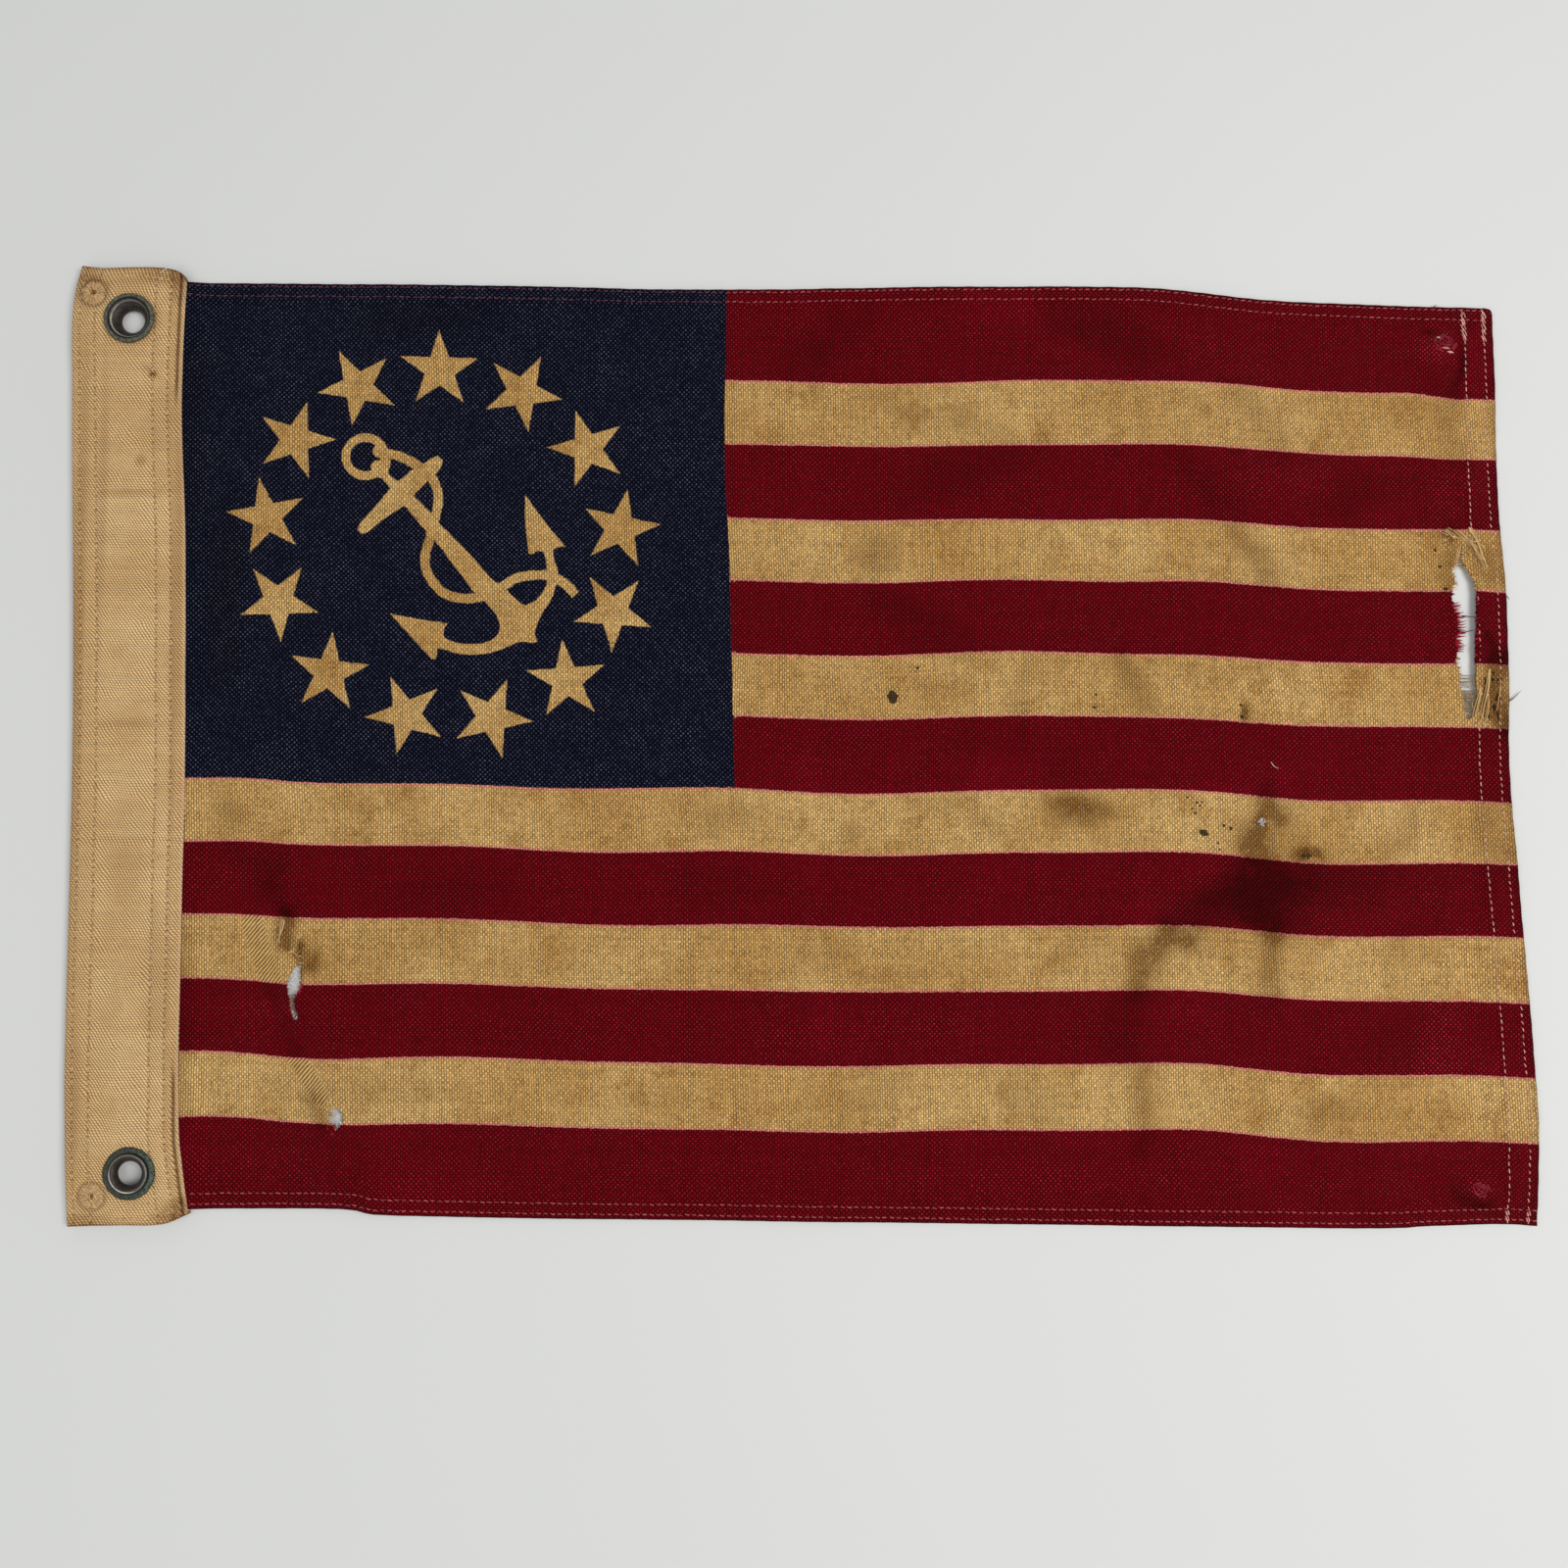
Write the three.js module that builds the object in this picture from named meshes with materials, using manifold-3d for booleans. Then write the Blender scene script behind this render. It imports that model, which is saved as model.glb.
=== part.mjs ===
// A small cotton ensign lying flat, face up: a printed field hemmed on three sides, whose hoist edge
// is sewn inside a folded canvas heading with two brass grommets.
// Millimetres. X runs from the heading to the fly, Y up the hoist, Z up from the surface it lies on.
import * as THREE from 'three';
import { mergeVertices } from 'three/addons/utils/BufferGeometryUtils.js';
import Module from 'manifold-3d';

// Driving dimensions: the cloth.
const COTTON = 1.0; // thickness of the printed cotton
const HEM = 1.6; // thickness of its turned hems
const HEM_WIDTH = 5.5; // top and bottom hems
const FLY_HEM_WIDTH = 10.5; // the wider hem at the fly
const CANVAS = 1.0; // thickness of each layer of the heading
const GAP = 0.3; // room between pieces that lie on one another
const TUCK = 11; // how far the field's hoist edge reaches inside the heading
const BLEND = 1.5; // width over which a hem thins out

// Driving dimensions: the brass.
const BORE = 3.65; // inner radius of each grommet's barrel
const BARREL = 4.35; // outer radius of the barrel
const FLANGE = 8.2; // outer radius of the flange, and of the washer
const FLANGE_RISE = 0.8; // thickness of the flange at its crown
const CURL = 6.2; // outer radius of the rolled end of the barrel
const CURL_RISE = 0.5; // thickness of the roll
const WASHER = 0.5; // thickness of the washer
const WASHER_BORE = 5.2; // inner radius of the washer
const SIDES = 24; // facets round each brass part

// Heights that follow from them.
const TUCKED = CANVAS + GAP; // underside of the field inside the heading
const UPPER = TUCKED + COTTON + GAP; // underside of the heading's upper layer
const STACK = UPPER + CANVAS; // top of the heading
const FOLD_OUTER = STACK / 2; // radius of the heading's fold
const FOLD_INNER = FOLD_OUTER - CANVAS;

// The edges of the heading and the field, as they lie: a worn cloth, a little skewed.
const HEADING_LEFT = [
  [1.8, 1], [0, 37], [-0.5, 62], [-0.8, 134], [-1.9, 186], [-4.4, 257], [-4.9, 293], [-2.7, 307],
];
const HEADING_RIGHT = [
  [39.5, 4.7], [37.6, 18], [35.4, 40], [34.9, 98], [34.7, 146], [33, 216], [30.7, 260], [31.5, 302],
];
const HEADING_TOP = [[-2.7, 307], [4.3, 305.6], [23.4, 305.6], [30, 304.2], [31.5, 302]];
const HEADING_BOTTOM = [[1.8, 1], [19, 1.6], [31.7, 1.8], [39.5, 4.7]];
const FIELD_FOOT = [28.5, 6]; // lower hoist corner of the field, inside the heading
const FIELD_HOIST = [FIELD_FOOT, ...HEADING_RIGHT.slice(1).map(([x, y]) => [x - TUCK, y])];
const FIELD_TOP = [
  FIELD_HOIST.at(-1), [120, 301], [206, 299.5], [290, 300.6], [340, 300.2], [377, 296.4],
  [410, 294.8], [453, 293],
];
const FIELD_BOTTOM = [
  FIELD_FOOT, [75, 6.2], [90, 5.9], [101, 4.2], [147, 3.2], [194, 2.6], [300, 1.3], [402, 0.1],
  [426, 0.8], [447, 1.4], [459.2, 0.8],
];
const FIELD_FLY = [
  FIELD_BOTTOM.at(-1), [460.6, 27], [459.6, 61], [456.6, 113], [455.2, 141], [455.8, 172],
  [455.6, 200], [454.3, 228], [454.2, 270], FIELD_TOP.at(-1),
];

// Damage that goes right through the field. Each outline is closed by a smooth curve.
const FLY_TEAR = [
  [441.5, 217], [438.7, 209.5], [439.4, 204], [438.3, 198], [439.6, 190], [439.3, 177], [441.4, 160],
  [444.5, 167], [444.6, 180], [445.6, 197], [444.1, 208],
];
const HOIST_TEAR = [
  [71.9, 90], [70, 81], [68.5, 76], [68.9, 70], [71.6, 63.5], [72.4, 70], [73, 75], [72.6, 82],
];
const LOW_HOLE = [[82.4, 37], [84.7, 38.8], [86.9, 36], [86.9, 32.5], [84.6, 29.5], [82.2, 33]];
const PINHOLE = [[374.6, 126.5], [376, 128.6], [377.4, 126.5], [376, 124.4]];

// Where the cloth stands off the surface: centre, half length, half width, turn in degrees, height.
const SWELLS = [
  { at: [80, 58], long: 52, wide: 15, turn: -64, rise: 1.5 }, // ridge pulled from the tear to the hole
  { at: [448, 188], long: 46, wide: 13, turn: 88, rise: 1.3 }, // beside the fly tear
  { at: [434, 279], long: 18, wide: 13, turn: 0, rise: 1.5 }, // upper fly corner
  { at: [440, 11], long: 22, wide: 11, turn: 10, rise: 1.5 }, // lower fly corner
  { at: [372, 244], long: 66, wide: 22, turn: -8, rise: 1.2 }, // slack along the upper stripes
  { at: [95, 8], long: 26, wide: 10, turn: -12, rise: 1.0 }, // step in the bottom hem
];

// The grommets stand along the heading. The upper one has its flange up, the lower one its washer.
const GROMMETS = [
  { name: 'upper', at: [14.3, 288.5], flangeUp: true },
  { name: 'lower', at: [21.7, 17.6], flangeUp: false },
];
const UNDER_CURL = CURL_RISE + GAP + WASHER + GAP; // how high a washer lifts the canvas
const UNDER_FLANGE = FLANGE_RISE + GAP; // how high a flange lifts it
const LIFT_FLAT = 9.5; // radius that a grommet lifts evenly
const LIFT_REACH = 26; // radius at which the cloth is down again
const BRASS_HEIGHT = UNDER_CURL + STACK + UNDER_FLANGE;

// Spacing of the grids.
const FIELD_STEP = 14;
const HEADING_STEP = 12;
const FINE_STEP = 5;

const wasm = await Module();
wasm.setup();

const cotton = new THREE.MeshStandardMaterial({ color: 0x7d1426, roughness: 0.95, metalness: 0 });
const canvas = new THREE.MeshStandardMaterial({ color: 0xcda976, roughness: 0.95, metalness: 0 });
const brass = new THREE.MeshStandardMaterial({ color: 0x55563f, roughness: 0.5, metalness: 0.9 });

const vector = ([x, y]) => new THREE.Vector2(x, y);
const curveThrough = (points) => new THREE.SplineCurve(points.map(vector));

// A patch bounded by four edge curves, as a function of two fractions.
function patch({ bottom, top, left, right }) {
  const edges = [bottom, top, left, right].map(curveThrough);
  const [c00, c10, c01, c11] = [bottom[0], bottom.at(-1), top[0], top.at(-1)].map(vector);
  return (u, v) => {
    const [b, t] = edges.slice(0, 2).map((edge) => edge.getPointAt(u));
    const [l, r] = edges.slice(2).map((edge) => edge.getPointAt(v));
    const point = new THREE.Vector2();
    point.addScaledVector(b, 1 - v).addScaledVector(t, v);
    point.addScaledVector(l, 1 - u).addScaledVector(r, u);
    point.addScaledVector(c00, -(1 - u) * (1 - v)).addScaledVector(c10, -u * (1 - v));
    point.addScaledVector(c01, -(1 - u) * v).addScaledVector(c11, -u * v);
    return point;
  };
}

// Even steps from a to b, leaving out a.
function stepsTo(a, b, step) {
  const count = Math.max(1, Math.round((b - a) / step));
  return Array.from({ length: count }, (_, i) => a + ((b - a) * (i + 1)) / count);
}

// A closed sheet on a grid: over(i, j) and under(i, j) are its two faces, joined all round.
function closedSheet(columns, rows, over, under) {
  const positions = [];
  const indices = [];
  for (const face of [over, under]) {
    for (let j = 0; j < rows; j++) {
      for (let i = 0; i < columns; i++) positions.push(...face(i, j));
    }
  }
  const top = (i, j) => j * columns + i;
  const base = (i, j) => columns * rows + top(i, j);
  const quad = (a, b, c, d) => indices.push(a, b, c, a, c, d);
  for (let j = 0; j < rows - 1; j++) {
    for (let i = 0; i < columns - 1; i++) {
      quad(top(i, j), top(i + 1, j), top(i + 1, j + 1), top(i, j + 1));
      quad(base(i, j), base(i, j + 1), base(i + 1, j + 1), base(i + 1, j));
    }
  }
  for (let i = 0; i < columns - 1; i++) {
    quad(top(i, 0), base(i, 0), base(i + 1, 0), top(i + 1, 0));
    quad(top(i, rows - 1), top(i + 1, rows - 1), base(i + 1, rows - 1), base(i, rows - 1));
  }
  for (let j = 0; j < rows - 1; j++) {
    quad(top(0, j), top(0, j + 1), base(0, j + 1), base(0, j));
    quad(top(columns - 1, j), base(columns - 1, j), base(columns - 1, j + 1), top(columns - 1, j + 1));
  }
  const geometry = new THREE.BufferGeometry();
  geometry.setAttribute('position', new THREE.Float32BufferAttribute(positions, 3));
  geometry.setIndex(indices);
  return geometry;
}

// Geometry to solid and back, for the cuts.
function toSolid(geometry) {
  const bare = geometry.clone();
  bare.deleteAttribute('normal');
  bare.deleteAttribute('uv');
  const merged = mergeVertices(bare, 1e-4);
  const vertProperties = new Float32Array(merged.attributes.position.array);
  const triVerts = new Uint32Array(merged.index.array);
  return new wasm.Manifold(new wasm.Mesh({ numProp: 3, vertProperties, triVerts }));
}

function toGeometry(solid) {
  const { vertProperties, triVerts } = solid.getMesh();
  const geometry = new THREE.BufferGeometry();
  geometry.setAttribute('position', new THREE.BufferAttribute(vertProperties, 3));
  geometry.setIndex(new THREE.BufferAttribute(triVerts, 1));
  return geometry;
}

function cut(geometry, tools) {
  const solid = tools.reduce((left, tool) => left.subtract(toSolid(tool)), toSolid(geometry));
  return toGeometry(solid);
}

// 1 at the middle of a swell, falling smoothly to exactly 0 at its rim.
const dome = (r) => (r < 1 ? (1 - r * r) ** 2 : 0);

function swellAt(x, y) {
  let height = 0;
  for (const { at, long, wide, turn, rise } of SWELLS) {
    const offset = new THREE.Vector2(x - at[0], y - at[1]);
    offset.rotateAround(new THREE.Vector2(), -THREE.MathUtils.degToRad(turn));
    height += rise * dome(Math.hypot(offset.x / long, offset.y / wide));
  }
  return height;
}

// How far the brass lifts the cloth round each grommet.
function liftAt(x, y) {
  let lift = 0;
  for (const { at, flangeUp } of GROMMETS) {
    const r = Math.hypot(x - at[0], y - at[1]);
    const fall = THREE.MathUtils.smoothstep(r, LIFT_FLAT, LIFT_REACH);
    lift += (flangeUp ? UNDER_CURL : UNDER_FLANGE) * (1 - fall);
  }
  return lift;
}

// The printed cotton. Its underside is at the surface except on the swells and near the heading.
function makeField() {
  const edges = { bottom: FIELD_BOTTOM, top: FIELD_TOP, left: FIELD_HOIST, right: FIELD_FLY };
  const place = patch(edges);
  const width = curveThrough(FIELD_BOTTOM).getLength();
  const height = curveThrough(FIELD_FLY).getLength();
  const flyHem = width - FLY_HEM_WIDTH;
  const nearBrass = 35; // the grid is fine this far from the top and bottom edges
  const across = [0, 3.7, 7.3, TUCK, 14, 18, 23, 30];
  across.push(...stepsTo(30, flyHem - BLEND, FIELD_STEP), flyHem, width);
  const edge = [0, HEM_WIDTH, HEM_WIDTH + BLEND, ...stepsTo(HEM_WIDTH + BLEND, nearBrass, FINE_STEP)];
  const middle = stepsTo(nearBrass, height - nearBrass, FIELD_STEP).slice(0, -1);
  const up = [...edge, ...middle, ...edge.map((distance) => height - distance).reverse()];

  // 1 on a hem, 0 off it; inside the heading the hems are pressed flat.
  const hemAt = (fromHoist, fromBottom) => {
    const { smoothstep } = THREE.MathUtils;
    const sides = Math.min(fromBottom, height - fromBottom);
    const onSides = 1 - smoothstep(sides, HEM_WIDTH, HEM_WIDTH + BLEND);
    const onFly = smoothstep(fromHoist, flyHem - BLEND, flyHem);
    return Math.max(onSides, onFly) * smoothstep(fromHoist, TUCK, 18);
  };
  const under = (i, j) => {
    const { x, y } = place(across[i] / width, up[j] / height);
    const tucked = TUCKED * (1 - THREE.MathUtils.smoothstep(across[i], TUCK, 20));
    return [x, y, tucked + liftAt(x, y) + swellAt(x, y)];
  };
  const over = (i, j) => {
    const [x, y, z] = under(i, j);
    return [x, y, z + THREE.MathUtils.lerp(COTTON, HEM, hemAt(across[i], up[j]))];
  };
  const tears = [FLY_TEAR, HOIST_TEAR, LOW_HOLE, PINHOLE].map(throughCut);
  return cut(closedSheet(across.length, up.length, over, under), [...tears, ...grommetPlugs()]);
}

// A prism with a smooth closed outline, tall enough to go right through the cloth.
function throughCut(points) {
  const loop = new THREE.CatmullRomCurve3(points.map(([x, y]) => new THREE.Vector3(x, y, 0)), true);
  const shape = new THREE.Shape(loop.getPoints(points.length * 2).slice(0, -1));
  const geometry = new THREE.ExtrudeGeometry(shape, { depth: 12, bevelEnabled: false });
  return geometry.translate(0, 0, -4);
}

// The canvas strip: a lower layer, a round fold at the hoist and an upper layer.
function makeHeading() {
  const edges = { bottom: HEADING_BOTTOM, top: HEADING_TOP, left: HEADING_LEFT, right: HEADING_RIGHT };
  const place = patch(edges);
  const width = HEADING_RIGHT[4][0] - HEADING_LEFT[3][0];
  const length = curveThrough(HEADING_LEFT).getLength();
  const brassReach = 44; // the grid is fine this far from each end
  const up = [0, ...stepsTo(0, brassReach, FINE_STEP)];
  up.push(...stepsTo(brassReach, length - brassReach, HEADING_STEP));
  up.push(...stepsTo(length - brassReach, length, FINE_STEP));

  // The section, from the free edge of the lower layer to that of the upper one. Each entry is a
  // distance from the hoist edge and a height, for the outer face and for the inner face.
  const flat = stepsTo(FOLD_OUTER, width, FINE_STEP);
  const section = [];
  for (const x of [...flat].reverse()) section.push({ outer: [x, 0], inner: [x, CANVAS] });
  const bends = 6;
  for (let k = 0; k <= bends; k++) {
    const angle = Math.PI * (k / bends - 0.5);
    const onFold = (r) => [FOLD_OUTER - r * Math.cos(angle), FOLD_OUTER + r * Math.sin(angle)];
    section.push({ outer: onFold(FOLD_OUTER), inner: onFold(FOLD_INNER) });
  }
  for (const x of flat) section.push({ outer: [x, STACK], inner: [x, UPPER] });

  const face = (side) => (i, j) => {
    const [across, z] = section[i][side];
    const { x, y } = place(across / width, up[j] / length);
    return [x, y, z + liftAt(x, y)];
  };
  return cut(closedSheet(section.length, up.length, face('outer'), face('inner')), grommetPlugs());
}

// The round hole that each grommet needs through the cloth, wider towards its flange.
function grommetPlugs() {
  const narrow = BARREL + 0.45;
  const wide = FLANGE - 1.3;
  const flare = BRASS_HEIGHT - FLANGE_RISE;
  const profile = [
    [0, -1], [narrow, -1], [narrow, flare - 2.2], [wide, flare], [wide, flare + 2], [0, flare + 2],
  ];
  return GROMMETS.map((grommet) => turned(profile, grommet));
}

// A lathed ring or plug, set upright at its grommet and turned over where the flange is below.
function turned(profile, { at, flangeUp }) {
  const points = profile.map(([r, z]) => new THREE.Vector2(r, flangeUp ? z : BRASS_HEIGHT - z));
  if (!flangeUp) points.reverse();
  if (points[0].x > 0) points.push(points[0].clone());
  const geometry = new THREE.LatheGeometry(points, SIDES);
  return geometry.rotateX(Math.PI / 2).translate(at[0], at[1], 0);
}

// Flange, funnel, barrel and rolled end in one, drawn with the flange up. The roll's crown is flat.
function grommetProfile() {
  const top = BRASS_HEIGHT;
  const flangeUnder = top - FLANGE_RISE;
  return [
    [BORE, 2.2], [BORE + 0.35, 1.3], [BORE + 0.85, 0.5], [CURL - 1.1, 0], [CURL - 0.4, 0],
    [CURL, 0.15], [CURL, CURL_RISE - 0.1], [CURL - 0.6, CURL_RISE],
    [BARREL + 0.4, CURL_RISE + 0.15], [BARREL, 1.3], [BARREL, flangeUnder - 2.2],
    [BARREL + 1, flangeUnder - 0.9], [CURL + 0.2, flangeUnder],
    [FLANGE - 0.2, flangeUnder], [FLANGE, flangeUnder + 0.3], [FLANGE - 0.2, top - 0.1],
    [FLANGE - 0.6, top], [FLANGE - 1.4, top], [FLANGE - 1.6, top - 0.4],
    [BORE + 1.9, top - 1.3], [BORE + 0.8, top - 2.4], [BORE + 0.2, top - 3.6], [BORE, top - 4.2],
  ];
}

// The washer under the rolled end.
function washerProfile() {
  const under = CURL_RISE + GAP;
  return [
    [WASHER_BORE, under], [FLANGE - 0.3, under], [FLANGE, under + WASHER / 2],
    [FLANGE - 0.3, under + WASHER], [WASHER_BORE, under + WASHER],
  ];
}

function named(name, geometry, material) {
  const mesh = new THREE.Mesh(geometry, material);
  mesh.name = name;
  return mesh;
}

const ensign = new THREE.Group();
ensign.add(named('field', makeField(), cotton));
ensign.add(named('heading', makeHeading(), canvas));
for (const grommet of GROMMETS) {
  ensign.add(named(`grommet_${grommet.name}`, turned(grommetProfile(), grommet), brass));
  ensign.add(named(`washer_${grommet.name}`, turned(washerProfile(), grommet), brass));
}

// The origin is the middle of the ensign, on the surface that it lies on.
const middle = new THREE.Box3().setFromObject(ensign).getCenter(new THREE.Vector3());
ensign.position.set(-middle.x, -middle.y, 0);

export default ensign;
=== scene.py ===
import math
import random

import bpy
import numpy as np
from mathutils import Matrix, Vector
from mathutils.geometry import delaunay_2d_cdt
from mathutils.kdtree import KDTree


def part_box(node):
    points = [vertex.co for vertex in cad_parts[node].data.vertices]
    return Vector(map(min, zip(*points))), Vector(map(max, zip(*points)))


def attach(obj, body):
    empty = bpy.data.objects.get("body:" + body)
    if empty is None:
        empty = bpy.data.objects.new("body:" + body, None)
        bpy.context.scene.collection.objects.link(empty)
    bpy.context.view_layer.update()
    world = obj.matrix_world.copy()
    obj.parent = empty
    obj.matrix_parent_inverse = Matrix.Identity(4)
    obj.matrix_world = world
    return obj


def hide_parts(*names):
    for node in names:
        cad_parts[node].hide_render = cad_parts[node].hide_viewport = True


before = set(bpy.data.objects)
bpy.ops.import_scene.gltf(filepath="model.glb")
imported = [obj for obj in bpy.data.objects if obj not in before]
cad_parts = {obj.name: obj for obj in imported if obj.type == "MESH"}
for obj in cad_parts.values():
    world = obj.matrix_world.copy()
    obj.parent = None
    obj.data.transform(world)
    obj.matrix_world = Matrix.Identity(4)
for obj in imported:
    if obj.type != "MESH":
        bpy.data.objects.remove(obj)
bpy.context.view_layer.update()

MM = 0.001
SEED = 1812

# ---------------------------------------------------------------- where the flag's own axes are
UPPER_GROMMET = (14.3, 288.5)
LOWER_GROMMET = (21.7, 17.6)


def middle_of(node):
    """The middle of a CAD node, in millimetres in the frame."""
    low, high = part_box(node)
    return (low + high) / 2 / MM


DATUM = middle_of("grommet_upper") - Vector((*UPPER_GROMMET, 0))
DATUM.z = 0
BRASS_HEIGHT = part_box("grommet_upper")[1].z / MM


def to_frame(points):
    """Millimetres in the flag's axes to metres in the frame."""
    return (np.asarray(points, float) + np.array(DATUM)) * MM


# ---------------------------------------------------------------- driving sizes of the cloth
COTTON = 0.5  # thickness of the printed cotton
HEM = 1.1  # thickness of its turned hems
HEM_WIDTH = 5.5
FLY_HEM_WIDTH = 10.5
UNDER = 0.12  # air under the cotton where it lies flat
TUCKED = 1.3  # height of the cotton inside the heading
CANVAS = 1.0
STACK = 3.6  # height of the heading
TUCK = 11.0
GRID = 2.3  # spacing of the cotton's points
EDGE_STEP = 2.0  # spacing along edges and printed outlines
THREAD = 0.76  # one thread of the weave
ROW_FALL = math.tan(math.radians(1.0))  # the weft runs down towards the fly by this
COLUMN_LEAN = math.tan(math.radians(1.2))  # the warp leans to the fly going down

# Edges of the heading and the field, as the solids have them.
HEADING_LEFT = [
    (1.8, 1), (0, 37), (-0.5, 62), (-0.8, 134), (-1.9, 186), (-4.4, 257), (-4.9, 293), (-2.7, 307),
]
HEADING_RIGHT = [
    (39.5, 4.7), (37.6, 18), (35.4, 40), (34.9, 98), (34.7, 146), (33, 216), (30.7, 260), (31.5, 302),
]
HEADING_TOP = [(-2.7, 307), (4.3, 305.6), (23.4, 305.6), (30, 304.2), (31.5, 302)]
HEADING_BOTTOM = [(1.8, 1), (19, 1.6), (31.7, 1.8), (39.5, 4.7)]
FIELD_FOOT = (28.5, 6)
FIELD_HOIST = [FIELD_FOOT] + [(x - TUCK, y) for x, y in HEADING_RIGHT[1:]]
FIELD_TOP = [
    FIELD_HOIST[-1], (120, 301), (206, 299.5), (290, 300.6), (340, 300.2), (377, 296.4),
    (410, 294.8), (451, 293.3),
]
FIELD_CORNER = [(451, 293.3), (453.2, 292.6), (454.0, 290.4)]
FIELD_FLY = [
    (459.2, 0.8), (460.6, 27), (459.6, 61), (456.6, 113), (455.2, 141), (455.8, 172),
    (455.6, 200), (454.3, 228), (454.2, 270), (454.0, 290.4),
]
FIELD_BOTTOM = [
    FIELD_FOOT, (75, 6.2), (90, 5.9), (101, 4.2), (147, 3.2), (194, 2.6), (300, 1.3), (402, 0.1),
    (426, 0.8), (447, 1.4), (459.2, 0.8),
]

# Where the cloth stands off the table: centre, half length, half width, turn in degrees, height.
SWELLS = [
    ((80, 58), 52, 15, -64, 1.5),
    ((448, 188), 46, 13, 88, 1.3),
    ((434, 279), 18, 13, 0, 1.5),
    ((440, 11), 22, 11, 10, 1.5),
    ((372, 244), 66, 22, -8, 1.2),
    ((95, 8), 26, 10, -12, 1.0),
]
# How far the brass lifts the cloth round each grommet.
LIFTS = [(UPPER_GROMMET, 1.6), (LOWER_GROMMET, 1.1)]
LIFT_FLAT, LIFT_REACH = 9.5, 26

# Soft creases pressed into the cotton: route, half width, height.
CREASES = [
    ([(252, 264), (262, 259.6), (272, 256.6), (282, 255), (289, 254.4), (299, 251)], 1.6, -0.35),
    ([(373, 268), (379, 258), (388, 247)], 3.0, 0.35),
    ([(366, 264), (372, 254), (380, 244)], 2.5, -0.3), ([(436, 268), (440, 254), (442, 232)], 3.5, 0.5),
    ([(62, 112), (66, 98), (71, 88)], 2.2, -0.5), ([(74, 62), (79, 48), (84, 36)], 2.0, -0.45),
    ([(85, 30), (92, 20), (98, 12)], 2.2, -0.4), ([(58, 98), (64, 84), (69, 74)], 2.2, 0.35),
    ([(372, 140), (370, 122), (372, 105), (384, 96)], 5.0, 0.35),
    ([(330, 96), (336, 78), (333, 50), (337, 28)], 4.0, 0.3),
    ([(298, 180), (304, 168), (300, 150)], 3.0, 0.25), ([(60, 230), (85, 196), (110, 172)], 7.0, 0.35),
    ([(150, 292), (172, 262), (196, 240)], 8.0, 0.35),
    ([(240, 296), (262, 276), (276, 258)], 5.0, 0.35), ([(404, 60), (412, 40), (410, 18)], 6.0, 0.35),
    ([(214, 90), (246, 70), (262, 44)], 7.0, 0.3),
]

# ---------------------------------------------------------------- what is printed on the cotton
# Heights of the stripes' edges where the canton ends, and how far all of them drift up or down from
# there with the cloth, on the way to the hoist and to the fly.
STRIPE_HEIGHTS = (269.5, 248.4, 224.4, 204.2, 180.9, 160.3, 137.0, 117.0, 94.2, 73.7, 50.9, 30.3)
STRIPE_DRIFT = [
    (24, 3.6), (52, 3.7), (70, 2.6), (90, 2.0), (127, 1.5), (188, 0.2), (206, 0), (254, -0.8),
    (303, 0), (350, -0.3), (377, -2.1), (392, -3.0), (414, -3.4), (440, -3.8), (461, -4.5),
]
DROOP = 2.7  # the darned corner draws the print down by this
DROOP_FROM_X, DROOP_FROM_Y = (424, 442), (228, 270)
FIRST_UNDER_CANTON = 6  # stripe edges from here on run under the canton
CANTON_SIDE, UNDER_HEADING = 206, 30  # where the edges above and below the canton's foot start
CANTON_FLY = [
    (206.2, 302), (205.5, 258.4), (205.9, 233.6), (207.2, 209.4), (208.4, 161), (209.1, 136.6),
]
INK_OVERLAP = 0.4  # red printed under the edge of the canton
REACH = 4.0  # signed distances to what is printed stop here

# The middle of the anchor's drawing, and of the ring of stars round it.
ART_CENTRE = (116.7, 215.9)
STARS = 13
RING_CENTRE = (115.6, 216.0)
RING_RADIUS = 57.2
# The ring is skewed: it leans to the hoist going up, and falls towards the fly.
RING_LEAN, RING_FALL = 0.042, 0.032
STAR_RADIUS = 13.1
STAR_WAIST = STAR_RADIUS * 0.385
STAR_SKEW = 0.02

# The anchor, in millimetres from that middle.
RING_AT, RING_OUTER, RING_INNER = (-26.9, 28.6), 7.6, 4.9
KNOTS = [((-22.6, 30.4), 2.0), ((-22.9, 25.1), 2.2)]  # where the cable is bent to the ring
ROPE_HALF = 1.5
ROPE = [
    (-21.2, 29.7), (-16.8, 29), (-12.4, 27.1), (-7.5, 23.9), (-4.7, 20.3), (-3.4, 16.7), (-3.2, 13.4),
    (-4, 9.6), (-5, 6.3), (-5.8, 1.9), (-6.9, -2.5), (-7.1, -6.3), (-5.9, -10.2), (-3.7, -13.3),
    (-0.3, -16.2), (4, -17.4), (7.8, -17.5), (11, -17), (14.8, -15.7), (18.2, -13.5), (21.5, -11.3),
    (26.1, -10.2), (31.5, -10.1), (35.3, -11.2), (38, -12.9), (41.2, -16.3),
]
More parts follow.
